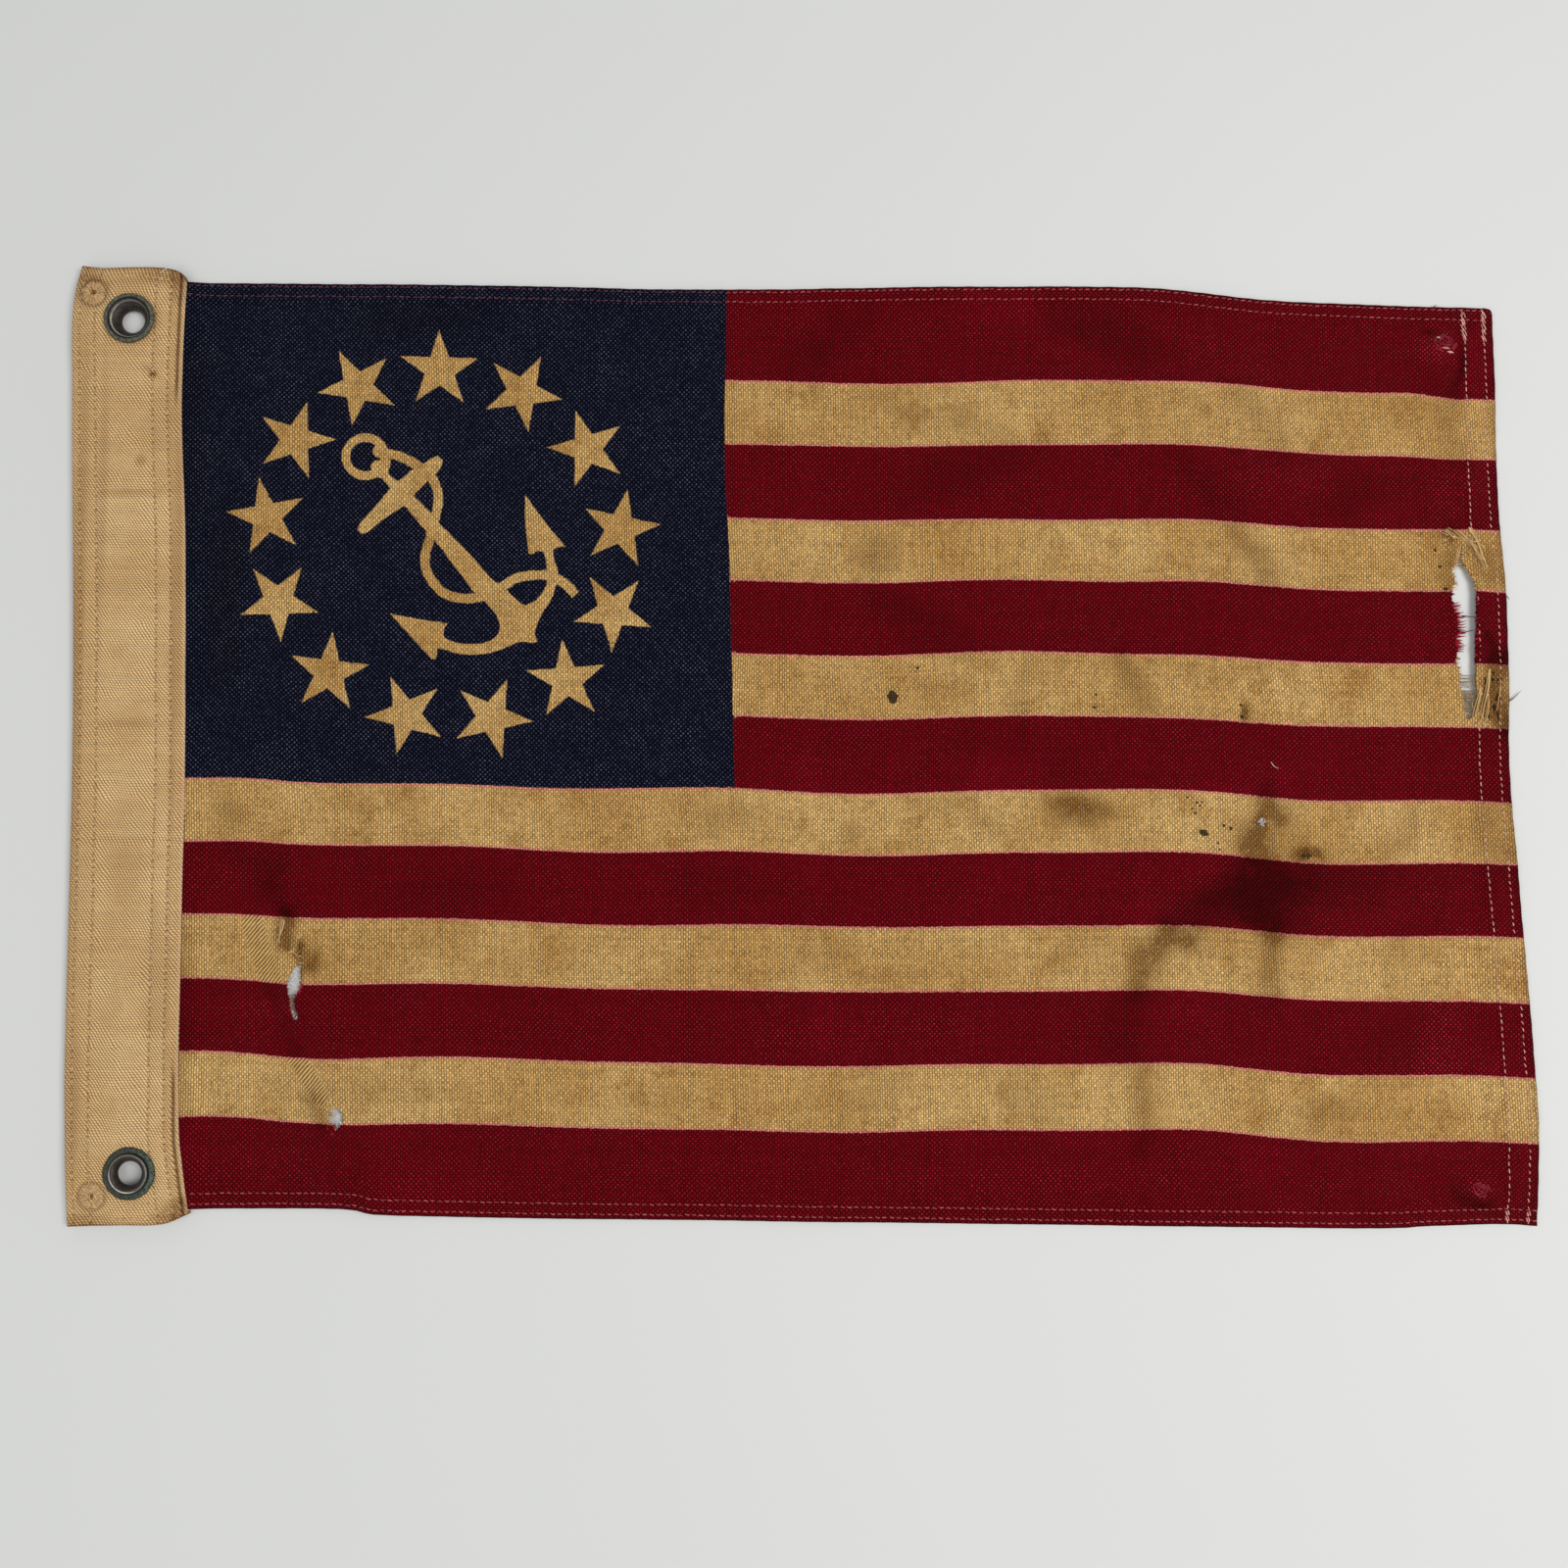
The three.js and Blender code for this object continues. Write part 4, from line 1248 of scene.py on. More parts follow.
def canvas_top(points):
    """Height of the heading's upper face, away from its fold."""
    left, right = heading_sides(points[:, 1])
    from_left, from_right = points[:, 0] - left, right - points[:, 0]
    height = STACK + lift(points)
    for distance, rows in ((from_left, LEFT_ROWS), (from_right, RIGHT_ROWS)):
        for row in rows:
            height -= 0.32 * bell(distance - row, 0.7)
    height -= 0.12 * smoothstep(from_left, 7.5, 9) * smoothstep(from_right, 8.7, 10)
    ends = 1 - smoothstep(points[:, 1], *GROOVE_FOOT) + smoothstep(points[:, 1], *GROOVE_HEAD)
    height -= (0.1 + 0.75 * ends) * bell(from_right - GROOVE, 0.55)
    height -= 0.75 * (1 - smoothstep(from_right, 0.1, 2.6))
    pucker = np.sin(2 * math.pi * points[:, 1] / 6.3 + 2 * np.sin(points[:, 1] / 17))
    near = bell(from_left - 5, 3) + bell(from_right - 6.5, 3)
    height += 0.09 * pucker * near
    height += 0.28 * ripples(points, 44, SEED + 20) * smoothstep(from_left, 0, 6)
    height += 0.05 * ripples(points, 7, SEED + 21)
    for y, depth in ((232, 0.3), (158, 0.35), (121, 0.15), (86, 0.2)):
        height -= depth * bell(points[:, 1] - y - 0.1 * points[:, 0], 1.6)
    for centre in ROSETTES:
        r = away_from(centre, points)
        height -= 0.4 * bell(r - ROSETTE_RADIUS, 0.7) + 0.5 * bell(r, 0.8)
        height += 0.12 * np.exp(-((r / 3) ** 4))
    return height


def heading_plan(across, along):
    """Points of the heading between its four edges, by how far over and up they are from 0 to 1."""
    def on(edge, share):
        run = lengths(edge)
        return point_at(edge, run / run[-1], share)

    u, v = across[..., None], along[..., None]
    flat = (1 - u) * on(LEFT_EDGE, along) + u * on(RIGHT_EDGE, along)
    flat += (1 - v) * on(FOOT_EDGE, across) + v * on(HEAD_EDGE, across)
    corners = (1 - u) * (1 - v) * FOOT_EDGE[0] + u * (1 - v) * FOOT_EDGE[-1]
    corners += (1 - u) * v * HEAD_EDGE[0] + u * v * HEAD_EDGE[-1]
    return flat - corners


def make_heading(material):
    """One strip of canvas: across the back, round the fold and across the front."""
    fold = np.radians([-90, -65, -40, -15, 15, 40, 65, 90])
    back = np.linspace(1, 0, 14)[:-1]
    flat_width = HEADING_WIDTH - FOLD_OUTER
    fine = np.concatenate([np.arange(0, 3.4, 0.34), np.arange(3.6, flat_width, HEADING_STEP)])
    front = (1 - fine / flat_width)[::-1]
    share = np.concatenate([back, np.zeros(len(fold) - 1), front])
    turn = np.concatenate([np.full(len(back), fold[0]), fold[:-1], np.full(len(front), fold[-1])])
    rows = round(HEADING_LENGTH / HEADING_STEP)
    share, along = np.meshgrid(share, np.linspace(0, 1, rows + 1))
    turn = np.broadcast_to(turn, share.shape)
    plan = heading_plan((FOLD_OUTER + share * flat_width) / HEADING_WIDTH, along)
    plan = plan.reshape(-1, 2)
    turn = turn.ravel()
    top = canvas_top(plan)
    rise = (1 + np.sin(turn)) / 2
    base = 0.06 + lift(plan)

    def surface(radius, squeeze):
        x = plan[:, 0] - radius * np.cos(turn)
        low = base + FOLD_OUTER - radius
        high = np.maximum(top - (FOLD_OUTER - radius) * squeeze, base + 2.0 * (radius < FOLD_OUTER))
        bulge = FOLD_OUTER * (1 + np.sin(turn)) + base + (FOLD_OUTER - radius) * -np.sin(turn)
        z = np.where(turn > 1.5, high, np.where(turn < -1.5, low, bulge * (1 - rise**4) + high * rise**4))
        return np.column_stack([x, plan[:, 1], z])

    outer, inner = surface(FOLD_OUTER, 0), surface(FOLD_INNER, 0.9)
    columns = len(share[0])
    cells = np.arange(rows * columns).reshape(rows, columns)[:, :-1].ravel()
    faces = np.stack([cells, cells + 1, cells + columns + 1, cells + columns], 1)
    centre = plan[faces].mean(1)
    for at in (UPPER_GROMMET, LOWER_GROMMET):
        keep = away_from(at, centre) > GROMMET_HOLE
        faces, centre = faces[keep], centre[keep]
    used, faces = in_use(plan, faces)
    outer, inner, plan = outer[used], inner[used], plan[used]
    piece = mesh_piece("heading_cloth", *thin_solid(outer, inner, faces), material)
    left, right = heading_sides(plan[:, 1])
    # Painted shade in the dents round each rosette and at its middle.
    rim = np.zeros(len(plan))
    for at in ROSETTES:
        r = away_from(at, plan)
        rim += 0.8 * bell(r - ROSETTE_RADIUS, 0.55) + bell(r, 0.7)
    ends = [nearest(plan, edge)[0] for edge in (HEAD_EDGE, FOOT_EDGE)]
    # Painted shade along the turned-in head and foot, over the smudges' stains and painted shade.
    grime_and_shade = blobs(plan, CANVAS_SMUDGES_AND_SHADE, 1.2) + 0.8 * (1 - smoothstep(np.minimum(*ends), 0.1, 1.1))
    values = {
        "FromLeft": outer[:, 0] - left, "FromRight": right - plan[:, 0], "Along": plan[:, 1],
        "GrimeAndShade": grime_and_shade, "Rim": rim,
    }
    for name, value in values.items():
        give_values(piece.data, name, np.tile(value, 2))
    return piece


CANVAS_BASE = shade(200, 161, 110)
CANVAS_LIGHT = shade(212, 176, 126)
CANVAS_BROWN = shade(176, 134, 84)
CANVAS_SHADE = shade(88, 58, 30)
CANVAS_STAIN_AND_SHADE_TINT = (0.36, 0.25, 0.15)
DUCK_WARP, DUCK_WEFT = 0.54, 0.78  # spacing of the duck's threads
CANVAS_PINK = shade(214, 182, 158)


def canvas():
    finish = Finish("canvas", 0.93)
    finish.fuzz(0.1, (1, 0.95, 0.85))
    from_left, from_right = finish.value("FromLeft"), finish.value("FromRight")
    along = finish.value("Along")
    place = finish.place_mm()
    broad = finish.noise(place, 0.05, 3, 0.6)
    fine = finish.noise(place, 0.6, 3, 0.6)
    sway = (finish.noise(place, 0.12, 2) - 0.5) * 1.6
    u, v = from_left + sway, along + sway
    wave, _, weft_rib, _, row = weave_signal(finish, u, v, DUCK_WARP, DUCK_WEFT)
    # Its crowns line up into faint ridges that run down to the fly.
    ridge = u * (math.pi / DUCK_WARP) + v * (math.pi / DUCK_WEFT)
    ridge = finish.span(finish.math("COSINE", ridge), 0.8, -0.8)
    weave = weft_rib * 0.4 + finish.span(wave, -0.7, 0.7) * 0.25 + ridge * 0.35
    row_tone = finish.speck(row)
    colour = finish.mix(finish.span(broad, 0.3, 0.7), CANVAS_BASE, CANVAS_LIGHT)
    band = finish.span(from_left, 9.2, 6.2) * finish.span(broad, 0.3, 0.7, 0.08, 0.36)
    band = band + finish.span(from_right, 4.6, 3.6, 0, 0.3)
    colour = finish.mix(band, colour, CANVAS_BROWN)
    light = finish.span(weave, 0.1, 0.9, 0.16, 1.42, False) + row_tone * 0.08 + (fine - 0.5) * 0.35
    colour = finish.lit(colour, light)
    # The sewn edge: a paler twisted lip, and painted shade in its groove, deepest at both ends.
    twist = finish.math("SINE", (along + from_right) * (2 * math.pi / 0.9))
    twist = finish.span(twist + fine * 1.5, -0.5, 1.5, 0.35, 0.9)
    lip = finish.span(from_right, 0.8, 0.5, 0, 0.4) * twist
    colour = finish.mix(lip, colour, CANVAS_PINK)
    gap = finish.math("ABSOLUTE", from_right - GROOVE)
    groove_shade = finish.span(gap, 0.6, 0.15) * finish.span(fine, 0.2, 0.6, 0.55, 0.95)
    ends = finish.span(along, *GROOVE_HEAD) + finish.span(along, *GROOVE_FOOT[::-1])
    groove_shade = groove_shade * (ends * 0.85 + 0.04)
    colour = finish.mix(groove_shade, colour, CANVAS_SHADE)
    # Painted shade in the needle holes, where one stitch ends and the next begins, and along the sunk
    # stitch rows.
    step = finish.math("FRACT", along * (1 / STITCH_PITCH))
    step = finish.math("ABSOLUTE", step - 0.5) * -STITCH_PITCH + STITCH_PITCH / 2
    hole_shade = 0.0
    for distance, rows in ((from_left, LEFT_ROWS), (from_right, RIGHT_ROWS)):
        for row in rows:
            off = distance - row
            r2 = off * off + step * step
            hole_shade = finish.math("MAXIMUM", hole_shade, finish.span(r2, 0.22, 0.02))
            line = finish.span(finish.math("ABSOLUTE", off), 0.6, 0.1, 0, 0.28)
            hole_shade = finish.math("MAXIMUM", hole_shade, line)
    colour = finish.mix(hole_shade * 0.75, colour, CANVAS_SHADE)
    # Painted shade in the rosettes' dents.
    colour = finish.mix(finish.math("MINIMUM", finish.value("Rim") * 0.7, 0.85), colour, CANVAS_SHADE)
    # Brown stains with painted shade darken the canvas.
    grime_and_shade = finish.value("GrimeAndShade") * finish.span(fine, 0.3, 0.7, 0.6, 1.2)
    finish.colour(finish.darken(finish.math("MINIMUM", grime_and_shade, 0.9), colour, CANVAS_STAIN_AND_SHADE_TINT))
    finish.bump(weave, 0.00018, 0.8)
    return finish.material


# ---------------------------------------------------------------- grommets and washers
BORE = 3.65
BARREL = 4.35
FLANGE = 8.2
FLANGE_RISE = 0.8
CURL = 6.2
CURL_RISE = 0.5
WASHER = 0.5
WASHER_BORE = 5.2
GAP = 0.3
TURNS = 96


def grommet_profile():
    """Radius and height round one grommet, from its bore round its roll and flange."""
    top = BRASS_HEIGHT
    under = top - FLANGE_RISE
    return [
        (BORE, 2.2), (BORE + 0.35, 1.3), (BORE + 0.85, 0.5), (CURL - 1.1, 0.03), (CURL - 0.4, 0.03),
        (CURL, 0.15), (CURL, CURL_RISE - 0.1), (CURL - 0.6, CURL_RISE), (BARREL + 0.4, CURL_RISE + 0.15),
        (BARREL, 1.3), (BARREL, under - 2.2), (BARREL + 1, under - 0.9), (CURL + 0.2, under),
        (FLANGE - 0.2, under), (FLANGE, under + 0.3), (FLANGE - 0.15, top - 0.12), (FLANGE - 0.6, top),
        (FLANGE - 1.3, top), (FLANGE - 1.6, top - 0.4), (BORE + 1.9, top - 1.3), (BORE + 0.8, top - 2.4),
        (BORE + 0.2, top - 3.6), (BORE, top - 4.2),
    ]


def washer_profile():
    under = CURL_RISE + GAP
    return [
        (WASHER_BORE, under), (FLANGE - 0.3, under), (FLANGE, under + WASHER / 2),
        (FLANGE - 0.3, under + WASHER), (WASHER_BORE, under + WASHER),
    ]


def turned(name, profile, at, flipped, material, dents, seed):
    """A lathed ring at a grommet, a little out of round and dented."""
    line = smooth(profile, 0.3, closed=True)
    if flipped:
        line = np.column_stack([line[:, 0], BRASS_HEIGHT - line[:, 1]])[::-1]
    angle = np.linspace(0, 2 * math.pi, TURNS, endpoint=False)
    count = len(line)
    radius = np.repeat(line[None, :, 0], TURNS, 0)
    height = np.repeat(line[None, :, 1], TURNS, 0)
    around = np.repeat(angle[:, None], count, 1)
    draw = np.random.default_rng(seed)
    wobble = sum(
        draw.uniform(-1, 1) * np.sin(k * around + draw.uniform(0, 6.3)) for k in (2, 3, 5, 9, 14)
    )
    outer = smoothstep(radius, BORE + 0.6, FLANGE)
    radius = radius - dents * np.abs(wobble) * outer
    spots = np.stack([radius * np.cos(around), radius * np.sin(around)], -1).reshape(-1, 2)
    height = height - dents * 0.7 * np.abs(ripples(spots, 3.5, seed)).reshape(height.shape) * outer
    height = np.maximum(height, 0.03)
    vertices = np.column_stack([spots, height.ravel()])
    cells = np.arange(TURNS * count)
    ring, step = cells // count, cells % count
    after = ring * count + (step + 1) % count
    across = ((ring + 1) % TURNS) * count
    faces = np.stack([cells, after, across + (step + 1) % count, across + step], 1)
    return mesh_piece(name, vertices, faces[:, ::-1].tolist(), material, at)


VERDIGRIS = shade(92, 118, 106)
BRASS_DARK = shade(50, 42, 36)
BRASS_SPECK = shade(158, 148, 136)
BRASS_HIGHLIGHT = shade(206, 200, 184)


def brass(name, highlight_ring, green, band_from, patina, patina_dark):
    """Tarnished brass: a patinated rim, a dark funnel, a near-black line between them, and a painted
    highlight on a polished ring to the lower left.
    """
    finish = Finish(name, 0.5)
    place = finish.place_mm()
    flat = finish.node("ShaderNodeVectorMath", place, (1, 1, 0), operation="MULTIPLY")
    radius = finish.node("ShaderNodeVectorMath", flat, out="Value", operation="LENGTH")
    x, y, _ = finish.split(place)
    grain = finish.noise(place, 1.1, 4, 0.7)
    fine = finish.noise(place, 3.2, 3, 0.7)
    band = finish.span(radius, band_from - 0.15, band_from + 0.15)
    rim = finish.mix(finish.span(grain, 0.35, 0.65), patina_dark, patina)
    right = finish.span(x, 0.0, 7.0) * finish.span(grain, 0.42, 0.6)
    rim = finish.mix(right * green, rim, VERDIGRIS)
    funnel = finish.mix(finish.span(fine, 0.56, 0.72, 0, 0.7), BRASS_DARK, BRASS_SPECK)
    colour = finish.mix(band, funnel, rim)
    line = finish.span(finish.math("ABSOLUTE", radius - band_from), 0.3, 0.1, 0, 0.9)
    colour = finish.mix(line, colour, shade(22, 22, 18))
    edge = finish.span(radius, FLANGE - 0.55, FLANGE - 0.15, 0, 0.6)
    colour = finish.mix(edge, colour, patina_dark)
    # A painted highlight on the lower-left side of a crest ring, which is also more metallic and
    # smoother.
    painted_highlight = finish.span(finish.math("ABSOLUTE", radius - highlight_ring), 0.28, 0.1)
    lower_left = finish.span(x * -0.6 + y * -0.8, 2.0, 5.0, 0.25, 1.0)
    painted_highlight = painted_highlight * lower_left * finish.span(grain, 0.3, 0.5, 0.5, 1.0)
    colour = finish.mix(painted_highlight, colour, BRASS_HIGHLIGHT)
    finish.colour(colour)
    finish.put(painted_highlight * 0.4 + 0.45, finish.shader.inputs["Metallic"])
    rough = band * 0.18 + finish.span(fine, 0.3, 0.7, 0.36, 0.5) - painted_highlight * 0.2
    finish.put(rough, finish.shader.inputs["Roughness"])
    finish.bump(grain + fine, 0.00012, 0.7)
    return finish.material


def make_brass():
    flange_up = brass("brass upper", 6.0, 0.2, 6.75, shade(112, 112, 95), shade(62, 60, 49))
    washer_up = brass("brass lower", 5.75, 0.7, 6.35, shade(74, 78, 64), shade(40, 44, 35))
    rings = [
        ("upper", UPPER_GROMMET, False, flange_up, 40), ("lower", LOWER_GROMMET, True, washer_up, 60),
    ]
    for name, at, flipped, material, seed in rings:
        for kind, profile in (("grommet", grommet_profile()), ("washer", washer_profile())):
            piece = turned(f"{kind}_{name}_ring", profile, at, flipped, material, 0.07, seed)
            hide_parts(f"{kind}_{name}")


# ---------------------------------------------------------------- sewing
def stitches_along(
    line, height_at, draw, pitch=STITCH_PITCH, length=1.7, slant=0.0, proud=0.04, skip=None
):
    """Short raised threads end to end along a line on a surface."""
    run = lengths(line)
    paths = []
    for start in np.arange(pitch / 2, run[-1], pitch):
        s = start + draw.uniform(-0.15, 0.15)
        at, ahead = point_at(line, run, [s, s + 0.4])
        ahead = ahead - at
        if skip and skip(at) or not np.linalg.norm(ahead):
            continue
        ahead /= np.linalg.norm(ahead)
        beside = np.array([-ahead[1], ahead[0]])
        half = length / 2 * draw.uniform(0.85, 1.1)
        lean = slant + draw.uniform(-0.08, 0.08)
        shift = draw.uniform(-0.1, 0.1)
        paths.append([
            at + ahead * half * t + beside * (half * t * lean + shift) for t in (-1, -0.7, 0, 0.7, 1)
        ])
    return raised(paths, height_at, (-0.3, 0.04 + proud, 0.12 + proud, 0.04 + proud, -0.3))


def raised(paths, height_at, rises):
    """Flat paths put on a surface, at a rise for each of their points."""
    if not paths:
        return []
    flat = np.array(paths, float)
    height = height_at(flat.reshape(-1, 2)).reshape(flat.shape[:2])
    return list(np.concatenate([flat, (height + rises)[..., None]], 2))


def offset_line(edge, distance, towards):
    """A line beside an edge. towards is 1 for its left side, -1 for its right."""
    return edge + towards * distance * left_of(edge)


def pulled_from_inner_row(at):
    """The inner row at the fly is gone where two cream stripes are torn."""
    return 157 < at[1] < 176.5 or 200 < at[1] < 221


def hem_stitches(pieces):
    draw = random.Random(SEED + 30)
    top, bottom = [], []
    for row in TOP_ROWS:
        line = offset_line(TOP_EDGE, row, -1)
        top += stitches_along(line, cotton_top, draw, length=1.45, slant=0.14)
    for row in BOTTOM_ROWS:
        line = offset_line(BOTTOM_EDGE, row, 1)
        bottom += stitches_along(
            line, cotton_top, draw, length=1.45, slant=-0.12, skip=lambda at: at[0] < 40
        )
    top = [path for path in top if heading_sides(path[2][1])[1] < path[2][0] < 451]
    on_navy = [path for path in top if path[2][0] < CANTON_SIDE]
    on_red = [path for path in top if path[2][0] >= CANTON_SIDE] + bottom
    outer, inner = (offset_line(FLY_EDGE, row, 1) for row in FLY_ROWS)
    fly = stitches_along(outer, cotton_top, draw, slant=0.3, length=1.1)
    fly += stitches_along(inner, cotton_top, draw, slant=0.12, length=1.3, skip=pulled_from_inner_row)
    # Back-tacks: the rows are sewn over themselves where they start and end.
    for row in (outer, inner):
        line = even(row, 1.0)
        head = line[-1] + np.outer(np.arange(-8, 3), (0, 1.0))
        for part, length in ((head, 2.3), (line[1:6], 1.5)):
            for shift, pitch, slant in ((-0.35, 1.7, 0.3), (0.35, 1.9, 0.3)):
                moved = part + np.array([shift, 0])
                fly += stitches_along(moved, cotton_top, draw, pitch, length, slant)
    pieces += [
        tubes("stitches_on_navy", on_navy, 0.16, MAUVE),
        tubes("stitches_on_red", on_red, 0.16, PINK_THREAD),
        tubes("stitches_at_fly", fly, 0.17, PALE_THREAD),
    ]


def heading_stitches():
    draw = random.Random(SEED + 31)
    paths = []
    y = np.arange(2.6, 305, STITCH_PITCH)
    left, right = heading_sides(y)
    for x in [left + row for row in LEFT_ROWS] + [right - row for row in RIGHT_ROWS]:
        line = np.stack([x, y], 1)
        keep = y > height_on(FOOT_EDGE, x) + 0.6
        keep &= y < height_on(HEAD_EDGE, x) - 1.6
        for at in (UPPER_GROMMET, LOWER_GROMMET):
            keep &= away_from(at, line) > FLANGE + 0.5
        for part in np.split(line, np.flatnonzero(~keep)):
            part = part[1:] if len(part) and not keep[np.searchsorted(y, part[0, 1])] else part
            if len(part) > 2:
                paths += stitches_along(part, canvas_top, draw, length=1.7, proud=0.0)
    for line in ([(7.5, 302.6), (17.7, 302.6), (27, 301.4)], [(20, 8.2), (27, 8.3), (33.5, 9)],
                 [(15, 3.6), (26, 3.8), (35, 5.6)]):
        paths += stitches_along(smooth(line), canvas_top, draw, length=1.5, proud=-0.06)
    return tubes("heading_stitches", paths, 0.2, TAN_THREAD)


def rosettes():
    """Two rounds of straight stitches from a centre, where the heading is sewn down."""
    draw = random.Random(SEED + 32)
    paths = []
    for centre in ROSETTES:
        for k in range(46):
            angle = 2 * math.pi * k / 46 + draw.uniform(-0.1, 0.1)
            way = np.array([math.cos(angle), math.sin(angle)])
            inner, outer = draw.uniform(0.5, 2.4), ROSETTE_RADIUS - draw.uniform(0.0, 0.8)
            stops = [inner + (outer - inner) * t for t in (0, 0.2, 0.5, 0.8, 1)]
            paths.append([np.array(centre) + way * r for r in stops])
    paths = raised(paths, canvas_top, (-0.3, 0, 0.06, 0, -0.3))
    return tubes("heading_rosettes", paths, 0.2, PALE_TAN)


# ---------------------------------------------------------------- frays
def strand(points, height_at, rises, step=0.7):
    """A loose yarn through a few points, at given rises over a surface."""
    line = smooth([(*point, rise) for point, rise in zip(points, rises)], step)
    height = height_at(line[:, :2])
    return np.column_stack([line[:, :2], height + line[:, 2]])


def tapered(path, thick, thin, both=False):
    t = np.linspace(0, 1, len(path))
    if both:
        return thin + (thick - thin) * np.sin(math.pi * t)
    return thick + (thin - thick) * t**1.5


def on_floor(points):
    return np.full(len(points), 0.15)


def spikes(draw, side, y_from, y_to, count, reach, towards, bend=0.5):
    """Torn thread ends that stick out of one side of a tear, in uneven bunches."""
    line = smooth(side, 0.5)
    found = []
    for k in range(count):
        y = y_from + (y_to - y_from) * (k + draw.uniform(-0.4, 0.4)) / count
        x = across_on(line, y)
        out = reach * draw.uniform(0.35, 1.0)
        drop = draw.uniform(-bend, bend)
        stops = ((-0.6, 0), (out * 0.5, 0.3), (out, 1))
        points = [(x + towards * far, y + drop * part) for far, part in stops]
        found.append(strand(points, cotton_top, (-0.1, 0.12, draw.uniform(-0.4, 0.3)), 0.5))
    return found


def ladder(draw, sides, y_from, y_to, step, slack=0.5):
    """Threads still across a hole whose other threads are gone."""
    left, right = smooth(sides[0], 0.5), smooth(sides[1], 0.5)
    found = []
    y = y_from
    while y > y_to:
        x0, x1 = across_on(left, y) - 0.5, across_on(right, y) + 0.5
        sag = draw.uniform(-slack, slack)
        points = [(x0, y), ((x0 + x1) / 2, y + sag), (x1, y + draw.uniform(-0.3, 0.3))]
        found.append(strand(points, cotton_top, (-0.1, -0.25 - 0.2 * draw.random(), -0.1), 0.6))
        y -= step * draw.uniform(0.7, 1.3)
    return found


def fluff(draw, centre, reach, count, length, rise):
    """Fine curled fibres in a small soft tangle."""
    found = []
    for _ in range(count):
        angle, radius = draw.uniform(0, 2 * math.pi), draw.random() ** 0.5
        x = centre[0] + reach[0] * radius * math.cos(angle)
        y = centre[1] + reach[1] * radius * math.sin(angle)
        heading = draw.uniform(0, 2 * math.pi)
        points, rises = [], []
        for _ in range(4):
            points.append((x, y))
            rises.append(draw.uniform(-0.4, rise))
            x += length / 3 * math.cos(heading)
            y += length / 3 * math.sin(heading)
            heading += draw.uniform(-1.1, 1.1)
        found.append(strand(points, cotton_top, rises, 0.6))
    return found


def sweep(draw, start, end, count, spread, bow, rise=0.6):
    """Loose yarns that run together from one place to another."""
    found = []
    start, end = np.array(start, float), np.array(end, float)
    across = np.array([-(end - start)[1], (end - start)[0]])
    across /= np.linalg.norm(across)
    for _ in range(count):
        a = start + across * draw.uniform(-spread, spread)
        b = end + across * draw.uniform(-spread, spread)
        middle = (a + b) / 2 + across * (bow + draw.uniform(-0.8, 0.8))
        rises = (-0.2, draw.uniform(0.15, rise), draw.uniform(0.1, rise * 0.8), -0.15)
        stops = [a, a * 0.45 + middle * 0.55, b * 0.5 + middle * 0.5, b]
        found.append(strand(stops, cotton_top, rises))
    return found


FLY_LEFT, FLY_RIGHT = FLY_TEAR
HOIST_LEFT, HOIST_RIGHT = HOIST_TEAR
